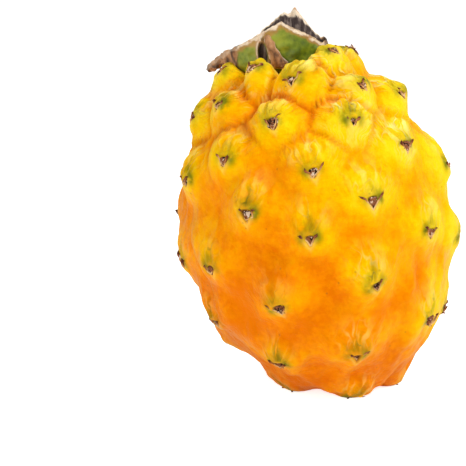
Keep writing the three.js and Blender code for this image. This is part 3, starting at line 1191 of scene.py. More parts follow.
@dataclass(frozen=True)
class AreolePatch:
    """The skin round one areole: its sunken scar, and the lip, grooves and arch round that.

    Attributes:
        at: Which of the skin's points the patch has.
        u, v: How far each is to the side of the areole, and towards the stem end.
        x: How far right each is on the fruit.
        upper, wander: What SkinPoints tells of each.
        fade: 1 near the areole, falling to 0 at the patch's edge.
        line_width: About half the width of the groove and the wings.
        wing_slope: How much the wings lean outwards.
        arch_reach: Half the arch's width and height.
        arch_scale: About how many millimetres away a point at twice that reach is.
        groove_span and the other spans: Where along v each starts, is full, fades and ends.
    """

    mark: AreoleMark
    at: Array
    u: Array
    v: Array
    x: Array
    upper: Array
    wander: Array
    fade: Array
    scar: ScarShape = ScarShape()
    scar_depth: float = 0.9
    lip_height: float = 0.32
    groove_depth: float = 0.5
    wing_depth: float = 0.25
    wrinkle_height: float = 0.2
    furrow_depth: float = 0.12
    arch_height: float = 0.68
    moat_depth: float = 0.25
    arch_reach: tuple[float, float] = (5.0, 6.4)
    arch_middle: float = 2.2
    arch_scale: float = 5.5
    arch_wander: float = 0.8
    line_width: float = 0.5
    wing_slope: float = 0.6
    wrinkle_reach: float = 4.6
    furrow_reach: float = 2.6
    vein_reach: float = 1.3
    crest_reach: float = 4.4
    groove_span: Span = (1.4, 3.2, 7, 13)
    wing_span: Span = (0.6, 2.2, 3.5, 6.5)
    wrinkle_span: Span = (0.5, 3, 6, 12)
    furrow_span: Span = (-7.5, -4, -3.4, -2)
    vein_span: Span = (1.4, 2.6, 4, 10)
    crest_span: Span = (1, 4, 7, 13.5)

    @cached_property
    def outside(self) -> Array:
        """How far each point is outside the scar, negative inside."""
        return self.scar.outside(self.u, self.v, self.mark.size)

    @cached_property
    def lower(self) -> Array:
        """1 on the scar's foot side, and 0 on its stem side."""
        return smooth_step(self.v, 1.2, -1.2)

    @cached_property
    def lip(self) -> Array:
        """The raised lip of the scar, strongest on its foot side."""
        return bell(self.outside - 0.55, 0.5) * (0.35 + 0.65 * self.lower)

    @cached_property
    def from_groove(self) -> Array:
        """How far each point is beside the groove that wavers up from the scar."""
        return self.u - 0.5 * np.sin(0.5 * self.v + self.mark.phase) - 0.12 * (self.v - 2)

    @cached_property
    def wings(self) -> Array:
        """The lines that go on outwards from the scar's upper corners."""
        line = self.scar.half_width + self.wing_slope * (self.v - self.scar.top)
        return bell(np.abs(self.u) - line, self.line_width) * window(self.v, *self.wing_span)

    @cached_property
    def arch(self) -> Array:
        """About how far each point is outside the arch over the scar, negative inside."""
        across, along = self.arch_reach
        away = np.hypot(self.u / across, (self.v - self.arch_middle) / along) - 1
        return self.arch_scale * away + self.arch_wander * self.wander

    @property
    def strength(self) -> float:
        """How strongly this areole's creases and colours show."""
        return 0.5 + 0.7 * self.mark.vigour

    @cached_property
    def arch_shown(self) -> Array:
        """How strongly the arch shows."""
        return self.strength * (0.5 + 0.5 * self.upper)

    @cached_property
    def moat(self) -> Array:
        """The hollow round the arch."""
        return bell(self.arch - 0.8, 0.7) * smooth_step(self.v, 0.5, 4) * self.arch_shown

    def relief(self) -> Array:
        """Work out how far the areole moves each point out.

        Returns:
            A distance for each.
        """
        u, v, phase = self.u, self.v, self.mark.phase
        deeper = 1 + 0.9 * self.upper
        dent = smooth_step(self.outside, 0.35, -0.8)
        groove = bell(self.from_groove, self.line_width) * window(v, *self.groove_span)
        wrinkles = np.sin(2.1 * u + 1.3 * np.sin(0.45 * v + phase) + phase)
        wrinkles *= bell(u, self.wrinkle_reach) * window(v, *self.wrinkle_span)
        furrow = bell(u, self.furrow_reach) * window(v, *self.furrow_span)
        dome = smooth_step(self.arch, 0.7, -0.9) * smooth_step(v, -1.5, 3)
        near = (
            self.lip_height * self.lip
            - self.scar_depth * dent
            - self.groove_depth * self.strength * deeper * groove
            - self.wing_depth * self.strength * self.wings
            + self.wrinkle_height * deeper * wrinkles
            - self.furrow_depth * furrow
        )
        dome_height = self.arch_height * self.arch_shown * dome
        return dome_height - self.moat_depth * self.moat + self.fade * near

    def greenness(self) -> Array:
        """Work out how green each point is: at the scar's sides, and in a cap over it.

        Returns:
            A value for each, from 0 to 1.
        """
        sway = math.sin(self.mark.phase)
        one_sided = np.where(self.u > 0, 1, -1) * sway
        sides = bell(np.hypot(np.abs(self.u) - 2.1, 0.8 * (self.v - 0.3)), 1.4)
        sides *= 0.75 + 0.45 * one_sided
        cap = bell(np.hypot(0.75 * (self.u - 0.8 * sway), self.v - 2.8), 2.1)
        green = (1.1 * sides + 0.5 * cap) * (0.55 + 0.45 * self.mark.vigour)
        return np.clip(green, 0, 1)

    def crest_highlight(self) -> Array:
        """Work out the painted highlight, in cream, on the crest and inside the arch's edge, strongest
        on the right where the light falls.

        Returns:
            A value for each, up to 1.
        """
        crest = bell(self.u, self.crest_reach) * window(self.v, *self.crest_span)
        inside = bell(self.arch + 1.5, 1.4) * smooth_step(self.v, 2, 5)
        # Painted highlight: stronger towards the right, where the light falls
        to_right = smooth_step(self.x, -18, 26)
        cream_highlight = (0.6 * crest + 0.7 * inside) * self.strength * (0.3 + 0.7 * to_right)
        return np.minimum(1.35 * cream_highlight * (0.22 + 0.78 * self.upper), 1)

    def masks(self) -> Masks:
        """Give the areole's part of each mask, by name."""
        vein = 0.9 * bell(self.from_groove, self.vein_reach) * window(self.v, *self.vein_span)
        vein = (vein + 0.3 * self.wings) * self.mark.vigour**1.5 * self.fade
        return {
            "scar": smooth_step(self.outside, 0.15, -0.25),
            "lip": 0.36 * self.lip * (0.4 + 0.6 * self.lower),
            "vein": vein,
            "green": self.greenness(),
            "cream_highlight": self.crest_highlight(),
            # The moat's mask, used for painted shade in the hollow round the arch
            "hollow": self.moat,
        }


@dataclass(frozen=True)
class FruitSkin:
    """The fruit's skin, from its tubercles down to its creases, with its colours' masks.

    Attributes:
        detail: How often the ball that the skin is made from is divided.
        fine_reach: How far round an areole its faces are divided once more.
        mark_reach, mark_fade: How far an areole's relief goes, and where it starts to fade.
        crease_depth: How deep the creases between the upper tubercles are.
        fold_reach: How far from a fold's line its relief starts to fade, and ends.
        ridge: How far from that line a fold's ridge is and how wide, as shares of the
            valley's width, and its height as a share of the depth.
        streak_middle: How far stemward of its areole the streaks are centred.
        streak_reach: Where they start to fade, and end.
        streak_gap: How much nearer to its own areole than to the next a point is, where
            they are full.
        phase_step: How far apart the areoles' phases lie in the streaks' noise.
        tone_broad: How much broad patches change the tone.
        tone_rightward, tone_upward: How much yellower it is for each millimetre, partly the skin's own
            tone and partly painted light, paler towards the upper right where the light falls.
        tone_top, tone_sides: How much yellower it is there.
        tone_unlit: How much more orange it is on the lower left, as painted shade away from the key
            light.
        tone_sunk: How much more orange it is in valleys, creases and hollows, as painted shade.
    """

    form: FruitForm
    marks: list[AreoleMark]
    detail: int = 7
    fine_reach: float = 4.9
    mark_reach: float = 17.0
    mark_fade: float = 9.0
    crease_depth: float = 0.95
    fold_reach: tuple[float, float] = (5.0, 9.0)
    ridge: tuple[float, float, float] = (1.9, 1.3, 0.55)
    streak_middle: float = 4.0
    streak_reach: tuple[float, float] = (8.0, 14.0)
    streak_gap: float = 5.0
    phase_step: float = 7.0
    tone_broad: float = 0.07
    tone_rightward: float = 0.0034
    tone_upward: float = 0.0022
    tone_top: float = 0.09
    tone_sides: float = 0.16
    tone_unlit: float = 0.16
    tone_sunk: tuple[float, float, float] = (0.2, 0.2, 0.14)
    uneven: tuple[tuple[float, Waves], ...] = (
        (0.5, Waves(seed=3, shortest=6, longest=17, stretch=1.6)),
        (0.15, Waves(seed=5, count=40, shortest=2.2, longest=5.0, stretch=1.6)),
    )
    folds: tuple[Fold, ...] = (
        Fold(((40, 90), (43, 98), (45, 108), (53, 126), (60, 140)), 1.3, 2.2, -1),
        Fold(((72, 84), (68, 94), (62, 108), (60, 118), (66, 134)), 0.8, 1.5, 1),
        Fold(((-70, 78), (-62, 96), (-58, 112), (-60, 130)), 0.8, 1.9, 1),
        Fold(((-130, 86), (-122, 104), (-126, 128)), 1.0, 2.0, -1),
        Fold(((160, 80), (168, 100), (163, 124)), 0.9, 1.9, 1),
        Fold(((108, 92), (112, 110), (106, 134)), 0.9, 1.8, -1),
    )

    def directions(self, bm: BMesh) -> tuple[Array, Array]:
        """Read the azimuth and polar angle of a ball's points, gathered to the stem end."""
        ball = unit(coordinates(bm))
        down = np.arccos(np.clip(ball[:, 2], -1, 1))
        polar = down - self.form.crowding * np.sin(down) * (1 + np.cos(down)) / 2
        return np.arctan2(ball[:, 0], -ball[:, 1]), polar

    def refine(self, bm: BMesh, reach: float) -> None:
        """Split the faces within reach of an areole into four.

        Args:
            bm: The ball.
            reach: How far round an areole faces are split.
        """
        points = self.form.standing_skin(*self.directions(bm))
        near = np.zeros(len(points), dtype=bool)
        for mark in self.marks:
            near |= np.linalg.norm(points - mark.point, axis=1) < reach
        bm.verts.ensure_lookup_table()
        edges = {e for i in np.flatnonzero(near) for f in bm.verts[i].link_faces for e in f.edges}
        bmesh.ops.subdivide_edges(bm, edges=list(edges), cuts=1, use_grid_fill=True)
        bmesh.ops.triangulate(bm, faces=[f for f in bm.faces if len(f.verts) > 3])
        for vert in bm.verts:
            vert.co.normalize()

    def normals(self, bm: BMesh, points: Array) -> Array:
        """Place a bmesh's points and read the directions that they face."""
        place(bm.verts, points)
        bm.normal_update()
        return np.array([v.normal for v in bm.verts])

    def fold_relief(self, points: Array) -> tuple[Array, Array]:
        """Work out the folds.

        Args:
            points: The skin's points.

        Returns:
            How far each point moves out, and how much of it is a valley.
        """
        height, valley = np.zeros(len(points)), np.zeros(len(points))
        share = np.linspace(0, 1, 60)
        every = 3
        fading, end = self.fold_reach
        ridge_at, ridge_width, ridge_height = self.ridge
        for fold in self.folds:
            stops = np.linspace(0, 1, len(fold.route))
            azimuth, polar = (
                np.radians(np.interp(share, stops, [p[k] for p in fold.route])) for k in range(2)
            )
            route = self.form.standing_skin(azimuth, polar)
            tangent = unit(np.gradient(route, axis=0))
            outward = unit(route - route.mean(axis=0) * np.array([0, 0, 1]))
            right = unit(np.cross(tangent, outward))
            from_route = points[:, None, :] - route[None, ::every, :]
            nearest = np.argmin((from_route**2).sum(-1), axis=1) * every
            offset = points - route[nearest]
            distance = np.linalg.norm(offset, axis=1)
            across = np.einsum("ij,ij->i", offset, -right[nearest]) * fold.ridge_side
            close = smooth_step(distance, end, fading) * window(share[nearest], 0.0, 0.25, 0.7, 1.0)
            step = bell(across, fold.width) * (0.7 - 0.3 * np.tanh(across / fold.width))
            ridge = bell(across - ridge_at * fold.width, ridge_width * fold.width)
            height += close * fold.depth * (ridge_height * ridge - step)
            valley = np.maximum(valley, close * step)
        return height, valley

    def own_places(self, points: Array) -> Masks:
        """Tell where points are beside their own areole, for streaks that fan out from it.

        Args:
            points: The skin's points.

        Returns:
            How far each is across and along, its areole's phase, and how strongly streaks
            show, which is 0 halfway between two areoles.
        """
        nearest = np.full(len(points), np.inf)
        next_nearest = nearest.copy()
        places = {name: np.zeros(len(points)) for name in ("across", "along", "phase")}
        for mark in self.marks:
            offset = points - mark.point - self.streak_middle * mark.stemward
            distance = np.linalg.norm(offset, axis=1)
            next_nearest = np.minimum(next_nearest, np.maximum(nearest, distance))
            at = distance < nearest
            nearest[at] = distance[at]
            places["across"][at] = offset[at] @ mark.side
            places["along"][at] = offset[at] @ mark.stemward + self.streak_middle
            places["phase"][at] = self.phase_step * mark.phase
        apart = smooth_step(next_nearest - nearest, 0.0, self.streak_gap)
        fading, end = self.streak_reach
        places["streaked"] = apart * smooth_step(nearest, end, fading)
        return places

    def crease(self, skin: SkinPoints) -> Array:
        """Work out how deep in a crease between two tubercles each point is, from 0 to 1.

        Args:
            skin: The skin's points.

        Returns:
            A value for each.
        """
        near_stem = smooth_step(skin.down, 58, 38)
        crease = smooth_step(skin.shared, 0.72, 1.0) * smooth_step(skin.rise, 1.0, 3.0)
        shown = np.maximum(near_stem, skin.upper * (0.3 + 0.7 * skin.broken))
        return crease * (0.1 + 0.9 * shown)

    def patch(self, mark: AreoleMark, skin: SkinPoints) -> AreolePatch:
        """Find the patch of skin round an areole.

        Args:
            mark: The areole.
            skin: The skin's points.

        Returns:
            The patch.
        """
        offset = skin.points - mark.point
        distance = np.linalg.norm(offset, axis=1)
        at = np.flatnonzero((distance < self.mark_reach) & (skin.facing @ mark.out > -0.1))
        return AreolePatch(
            mark, at, u=offset[at] @ mark.side, v=offset[at] @ mark.stemward,
            x=skin.points[at, 0], upper=skin.upper[at], wander=skin.wander[at],
            fade=smooth_step(distance[at], self.mark_reach, self.mark_fade),
        )

    def tone(self, skin: SkinPoints, lit: Array, sunk: Array) -> Array:
        """Work out how much yellower each point is than its rise alone makes it.

        Args:
            skin: The skin's points.
            lit: How near each is to the upper right, where the key light falls, from 0 to 1.
            sunk: How much more orange each is as painted shade in valleys, creases and hollows.

        Returns:
            The tone, which is negative where the skin is more orange.
        """
        x, z = skin.points[:, 0], skin.points[:, 2]
        broad = Waves(seed=9, count=16, shortest=26, longest=60).at(skin.points)
        # Partly painted light: paler to the right and upwards, towards where the light falls
        tone = self.tone_broad * broad + self.tone_rightward * x
        tone += self.tone_upward * (np.maximum(z, 38) - 50)
        tone += self.tone_top * smooth_step(z, 60, 88)
        tone += self.tone_sides * smooth_step(np.abs(x), 25, 34)
        return tone - sunk - self.tone_unlit * (1 - lit)

    def relief(self, skin: SkinPoints) -> tuple[Array, Masks]:
        """Work out the fine relief and the masks for the colours.

        Args:
            skin: The skin's points.

        Returns:
            How far each point moves out, and the masks by name.
        """
        x, z = skin.points[:, 0], skin.points[:, 2]
        height, valley = self.fold_relief(skin.points)
        for amount, waves in self.uneven:
            height += amount * waves.at(skin.points)
        crease = self.crease(skin)
        height -= self.crease_depth * crease
        names = ("scar", "lip", "vein", "green", "cream_highlight", "hollow")
        masks = {name: np.zeros(len(x)) for name in names}
        # Painted highlight along the brims of the upper tubercles
        brim_highlight = bell(skin.shared - 0.6, 0.08) * smooth_step(skin.rise, 2.0, 4.5)
        masks["cream_highlight"] = 0.5 * brim_highlight * skin.upper * skin.broken
        for mark in self.marks:
            patch = self.patch(mark, skin)
            height[patch.at] += patch.relief()
            for name, values in patch.masks().items():
                masks[name][patch.at] = np.maximum(masks[name][patch.at], values)
        hollow = masks.pop("hollow")
        masks.update(self.own_places(skin.points))
        masks["streaked"] *= 0.25 + 0.75 * skin.upper
        share = skin.rise / skin.tall
        # Painted light and shade: paler towards the upper right, where the key light falls, with the
        # crests standing out more there
        lit = smooth_step(z + 0.9 * np.maximum(x, -22), 24, 78)
        masks["rise"] = np.clip(share, 0, 1.2) * (0.76 + 0.24 * lit)
        # Painted shade: more orange in valleys, creases and the hollows round the arches
        sunk = np.array(self.tone_sunk) @ np.stack([valley, crease, hollow])
        masks["tone"] = self.tone(skin, lit, sunk)
        # Painted highlight on the upper right, where the key light falls
        bright_highlight = smooth_step(z, 56, 78) * smooth_step(x, -4, 20) * skin.broken
        masks["cream_highlight"] = np.maximum(masks["cream_highlight"], 0.5 * bright_highlight * smooth_step(share, 0.35, 0.8))
        # Painted shade in the creases and round the arches, less on the right where the key light falls
        masks["shade"] = np.clip(crease + 0.4 * hollow * skin.upper * skin.broken, 0, 1)
        masks["shade"] *= 1 - 0.55 * smooth_step(x, -6, 20)
        return height, masks

    def build(self, material: Material) -> Object:
        """Build the skin.

        Args:
            material: Its finish.

        Returns:
            The skin, which stands for the fruit's solid.
        """
        bm = bmesh.new()
        bmesh.ops.create_icosphere(bm, subdivisions=self.detail, radius=1.0)
        self.refine(bm, self.fine_reach)
        azimuth, polar = self.directions(bm)
        upright, rise, shared = self.form.skin(azimuth, polar)
        points = self.form.stand(upright)
        tall = self.form.size_at(self.form.heights, polar)
        facing = self.normals(bm, points)
        height, masks = self.relief(SkinPoints(points, facing, rise, shared, np.degrees(polar), tall))
        on_ground = smooth_step(points[:, 2], 0.0, 1.2)
        points = points + facing * (height * on_ground)[:, None]
        points[:, 2] = np.maximum(points[:, 2], 0.0)
        place(bm.verts, points)
        skin = new_object("fruit_skin", bm, material)
        for name, values in masks.items():
            layer = skin.data.attributes.new(name, "FLOAT", "POINT")
            layer.data.foreach_set("value", values.astype(np.float32))
        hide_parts("fruit")
        ride_as_part(skin)
        return skin


@dataclass(frozen=True)
class AreoleDress:
    """What stands in and round each areole's scar: felt, spines, hairs and dry scale edges.

    Attributes:
        pad_sunk, pad_height: How deep the middle of a felt pad lies, and half its height.
        pad_footward: How far the pad is set towards the foot.
        pad_share: How much of the scar's width the pad fills.
        pad_corners: The least and the most that it bulges towards the scar's corners.
        spines: The least number at an areole, and one more than the most.
        hair_length and the other pairs: The least and the most of a draw.
        crooked: How far a scale's edge strays from its line.
    """

    form: FruitForm
    marks: list[AreoleMark]
    scar: ScarShape = ScarShape()
    seed: int = 23
    pad_sunk: float = 0.38
    pad_height: float = 0.75
    pad_half_length: float = 1.5
    pad_footward: float = 0.25
    pad_share: float = 0.92
    pad_corners: tuple[float, float] = (0.02, 0.12)
    pad_lumps: float = 0.18
    hairs: int = 16
    hair_length: tuple[float, float] = (0.6, 1.2)
    hair_radius: float = 0.14
    spines: tuple[int, int] = (2, 5)
    spine_length: tuple[float, float] = (0.7, 1.5)
    spine_radius: tuple[float, float] = (0.168, 0.276)
    root_sunk: float = 0.25
    crooked: float = 0.28
    edge_thickness: tuple[float, float] = (0.13, 0.25)
    edge_height: tuple[float, float] = (0.22, 0.4)

    def pads(self, material: Material) -> Object:
        """Build the felt pads.

        Args:
            material: Their finish.

        Returns:
            One piece that holds them all.
        """
        draw = np.random.default_rng(self.seed)
        bm = bmesh.new()
        for mark in self.marks:
            made = bmesh.ops.create_icosphere(bm, subdivisions=3, radius=1.0)["verts"]
            ball = np.array([v.co for v in made])
            angle = np.arctan2(ball[:, 1], ball[:, 0])
            corner = 1 + draw.uniform(*self.pad_corners) * np.cos(3 * (angle + math.pi / 2))
            lumps = Waves(seed=int(draw.integers(1000)), count=10, shortest=0.5, longest=1.1).at(ball)
            swell = 1 + self.pad_lumps * lumps
            u = ball[:, 0] * corner * swell * self.scar.half_width * self.pad_share * mark.size
            v = (ball[:, 1] * corner * swell * self.pad_half_length - self.pad_footward) * mark.size
            w = ball[:, 2] * self.pad_height * swell - self.pad_sunk
            place(made, self.on_skin(mark, u, v, w))
        return self.finished("areole_felt", bm, material)

    def on_skin(self, mark: AreoleMark, u: Array, v: Array, w: Array) -> Array:
        """Find points beside an areole, w above the skin, and none below the ground."""
        points = mark.skin_at(self.form, u, v) + mark.out * w[:, None]
        points[:, 2] = np.maximum(points[:, 2], 0.0)
        return points

    def finished(self, name: str, bm: BMesh, material: Material) -> Object:
        """Make a bmesh a piece of the fruit's skin, with nothing below the ground.

        Args:
            name: The piece's name.
            bm: The bmesh.
            material: Its finish.

        Returns:
            The piece.
        """
        for vert in bm.verts:
            vert.co.z = max(vert.co.z, 0.0)
        made = new_object(name, bm, material)
        ride_as_part(made)
        return made

    def needle(
        self, bm: BMesh, root: Array, along: Array, length: float, radius: float, sides: int
    ) -> None:
        """Add a thin cone that stands on root, and is most browned there.

        Args:
            bm: The bmesh that it is added to.
            root: Where it stands.
            along: Its direction, of length 1.
            length: Its length.
            radius: Its radius at the root, which is four times that at its tip.
            sides: How many sides it has.
        """
        cone = bmesh.ops.create_cone(
            bm, cap_ends=True, segments=sides, radius1=radius * MM, radius2=radius / 4 * MM,
            depth=length * MM,
        )["verts"]
        turn = Vector((0, 0, 1)).rotation_difference(Vector(along)).to_matrix()
        bmesh.ops.translate(bm, verts=cone, vec=(0, 0, 0.4 * length * MM))
        bmesh.ops.rotate(bm, verts=cone, cent=(0, 0, 0), matrix=turn)
        bmesh.ops.translate(bm, verts=cone, vec=Vector(root * MM))
        layer = bm.verts.layers.float["browned"]
        for vert in cone:
            reach = (np.array(vert.co) / MM - root) @ along / length
            vert[layer] = 1 - max(0.0, min(1.0, float(reach)))

    def bristles(self, material: Material, spiny: bool) -> Object:
        """Build the spines, or the hairs of the felt.

        Args:
            material: Their material.
            spiny: Whether to build spines and not hairs.

        Returns:
            One piece that holds them all.
        """
        draw = np.random.default_rng(self.seed + 1 + spiny)
        bm = start_mesh("browned")
        sunk = np.array([-self.root_sunk])
        for mark in self.marks:
            count = int(draw.integers(*self.spines)) if spiny else self.hairs
            for _ in range(count):
                across = draw.uniform(-1, 1)
                v = draw.uniform(-1.6, 1.0) * mark.size
                u = across * (1.1 + 0.35 * v) * mark.size
                root = self.on_skin(mark, np.array([u]), np.array([v]), sunk)[0]
                tilt = mark.side * (0.5 * across + draw.normal(0, 0.35))
                tilt = tilt + mark.stemward * draw.normal(-0.1, 0.45)
                along = unit(mark.out + tilt)
                radius = draw.uniform(*self.spine_radius) if spiny else self.hair_radius
                length = draw.uniform(*(self.spine_length if spiny else self.hair_length))
                self.needle(bm, root, along, length, radius, 6 if spiny else 3)
        return self.finished("spine_stubs" if spiny else "felt_hairs", bm, material)

    def half_edge(self, mark: AreoleMark, reach: float, lift: float, curl: float) -> Array:
        """List the right half of a scale's edge, from its free end towards its tip.

        Args:
            mark: The areole.
            reach: How far its free end goes past the scar's corner.
            lift: How steeply the free end rises towards the stem end.
            curl: How much it curls up from the skin.

        Returns:
            How far each point is to the side, towards the stem end and above the skin.
        """
        width, top, tip = (k * mark.size for k in (self.scar.half_width, self.scar.top, self.scar.tip))
        return np.array([
            (width + reach, top + lift * reach, 0.5 + 0.3 * curl),
            (width + 0.5 * reach, top + 0.25 * reach, 0.68),
            (width, top - 0.3, 0.5),
            (0.55 * width, -0.2 * tip, 0.25),
        ])

    def scale_edges(self, material: Material) -> Object:
        """Build the dry edges of the scales: a thin ridge in a V along each scar.

        Args:
            material: Their finish.

        Returns:
            One piece that holds them all.
        """
        draw = np.random.default_rng(self.seed + 5)
        bm = start_mesh("browned")
        for mark in self.marks:
            reach = np.maximum(draw.uniform(-0.3, 1.0, size=2), 0.12) * (1.5 + mark.vigour)
            lift = draw.uniform(0.25, 0.75, size=2)
            curl = draw.uniform(0.2, 1.0, size=2)
            left, right = (self.half_edge(mark, *end) for end in zip(reach, lift, curl))
            tip = np.array([[0, 0.1 - self.scar.tip * mark.size, 0.12]])
            u, v, w = np.concatenate([left * (-1, 1, 1), tip, right[::-1]]).T
            stray = draw.normal(0, self.crooked, size=(3, len(u)))
            route = self.on_skin(mark, u + stray[0], v + stray[1], w + 0.5 * np.abs(stray[2]))
            thickness, height = draw.uniform(*self.edge_thickness), draw.uniform(*self.edge_height)
            paddle = draw.uniform(0.2, 1.1, size=2)

            def shape(s: Array, t: Array) -> tuple[Array, Masks]:
                """Place the ridge's points along s and around t."""
                centre = along_path(route, s)
                ahead = along_path(route, np.clip(s + 0.03, 0, 1))
                behind = along_path(route, np.clip(s - 0.03, 0, 1))
                sideways = unit(np.cross(unit(ahead - behind), mark.out))
                full = window(s, 0, 0.1, 0.9, 1)
                full *= 1 + paddle[0] * bell(s - 0.1, 0.08) + paddle[1] * bell(s - 0.9, 0.08)
                ragged = 0.65 + 0.35 * np.sin(31 * s + mark.phase) * np.cos(17 * s)
                around = 2 * math.pi * t
                points = centre + sideways * (thickness * np.cos(around) * full)[:, None]
                points = points + mark.out * (height * ragged * np.sin(around) * full)[:, None]
                from_tip = np.abs(s - 0.5) * 2
                return points, {"browned": np.clip(1.25 * from_tip - 0.35, 0, 1)}

            add_strip(bm, 30, 6, shape)
        return self.finished("dry_scale_edges", bm, material)


class StemEdge(Enum):
    """The lines that run along the cut stem, by their places in a station."""

    MIDDLE = 1
    HALF = 2
    FRONT = 3
    BACK = 4
    KEEL = 5
    FLOOR = 6


class Corner(Enum):
    """Corners of the stem's section, by their places in the list of corners."""

    KEEL = 2
    BACK = 4
    BACK_INNER = 5
    PITH = 6
    FRONT_INNER = 7


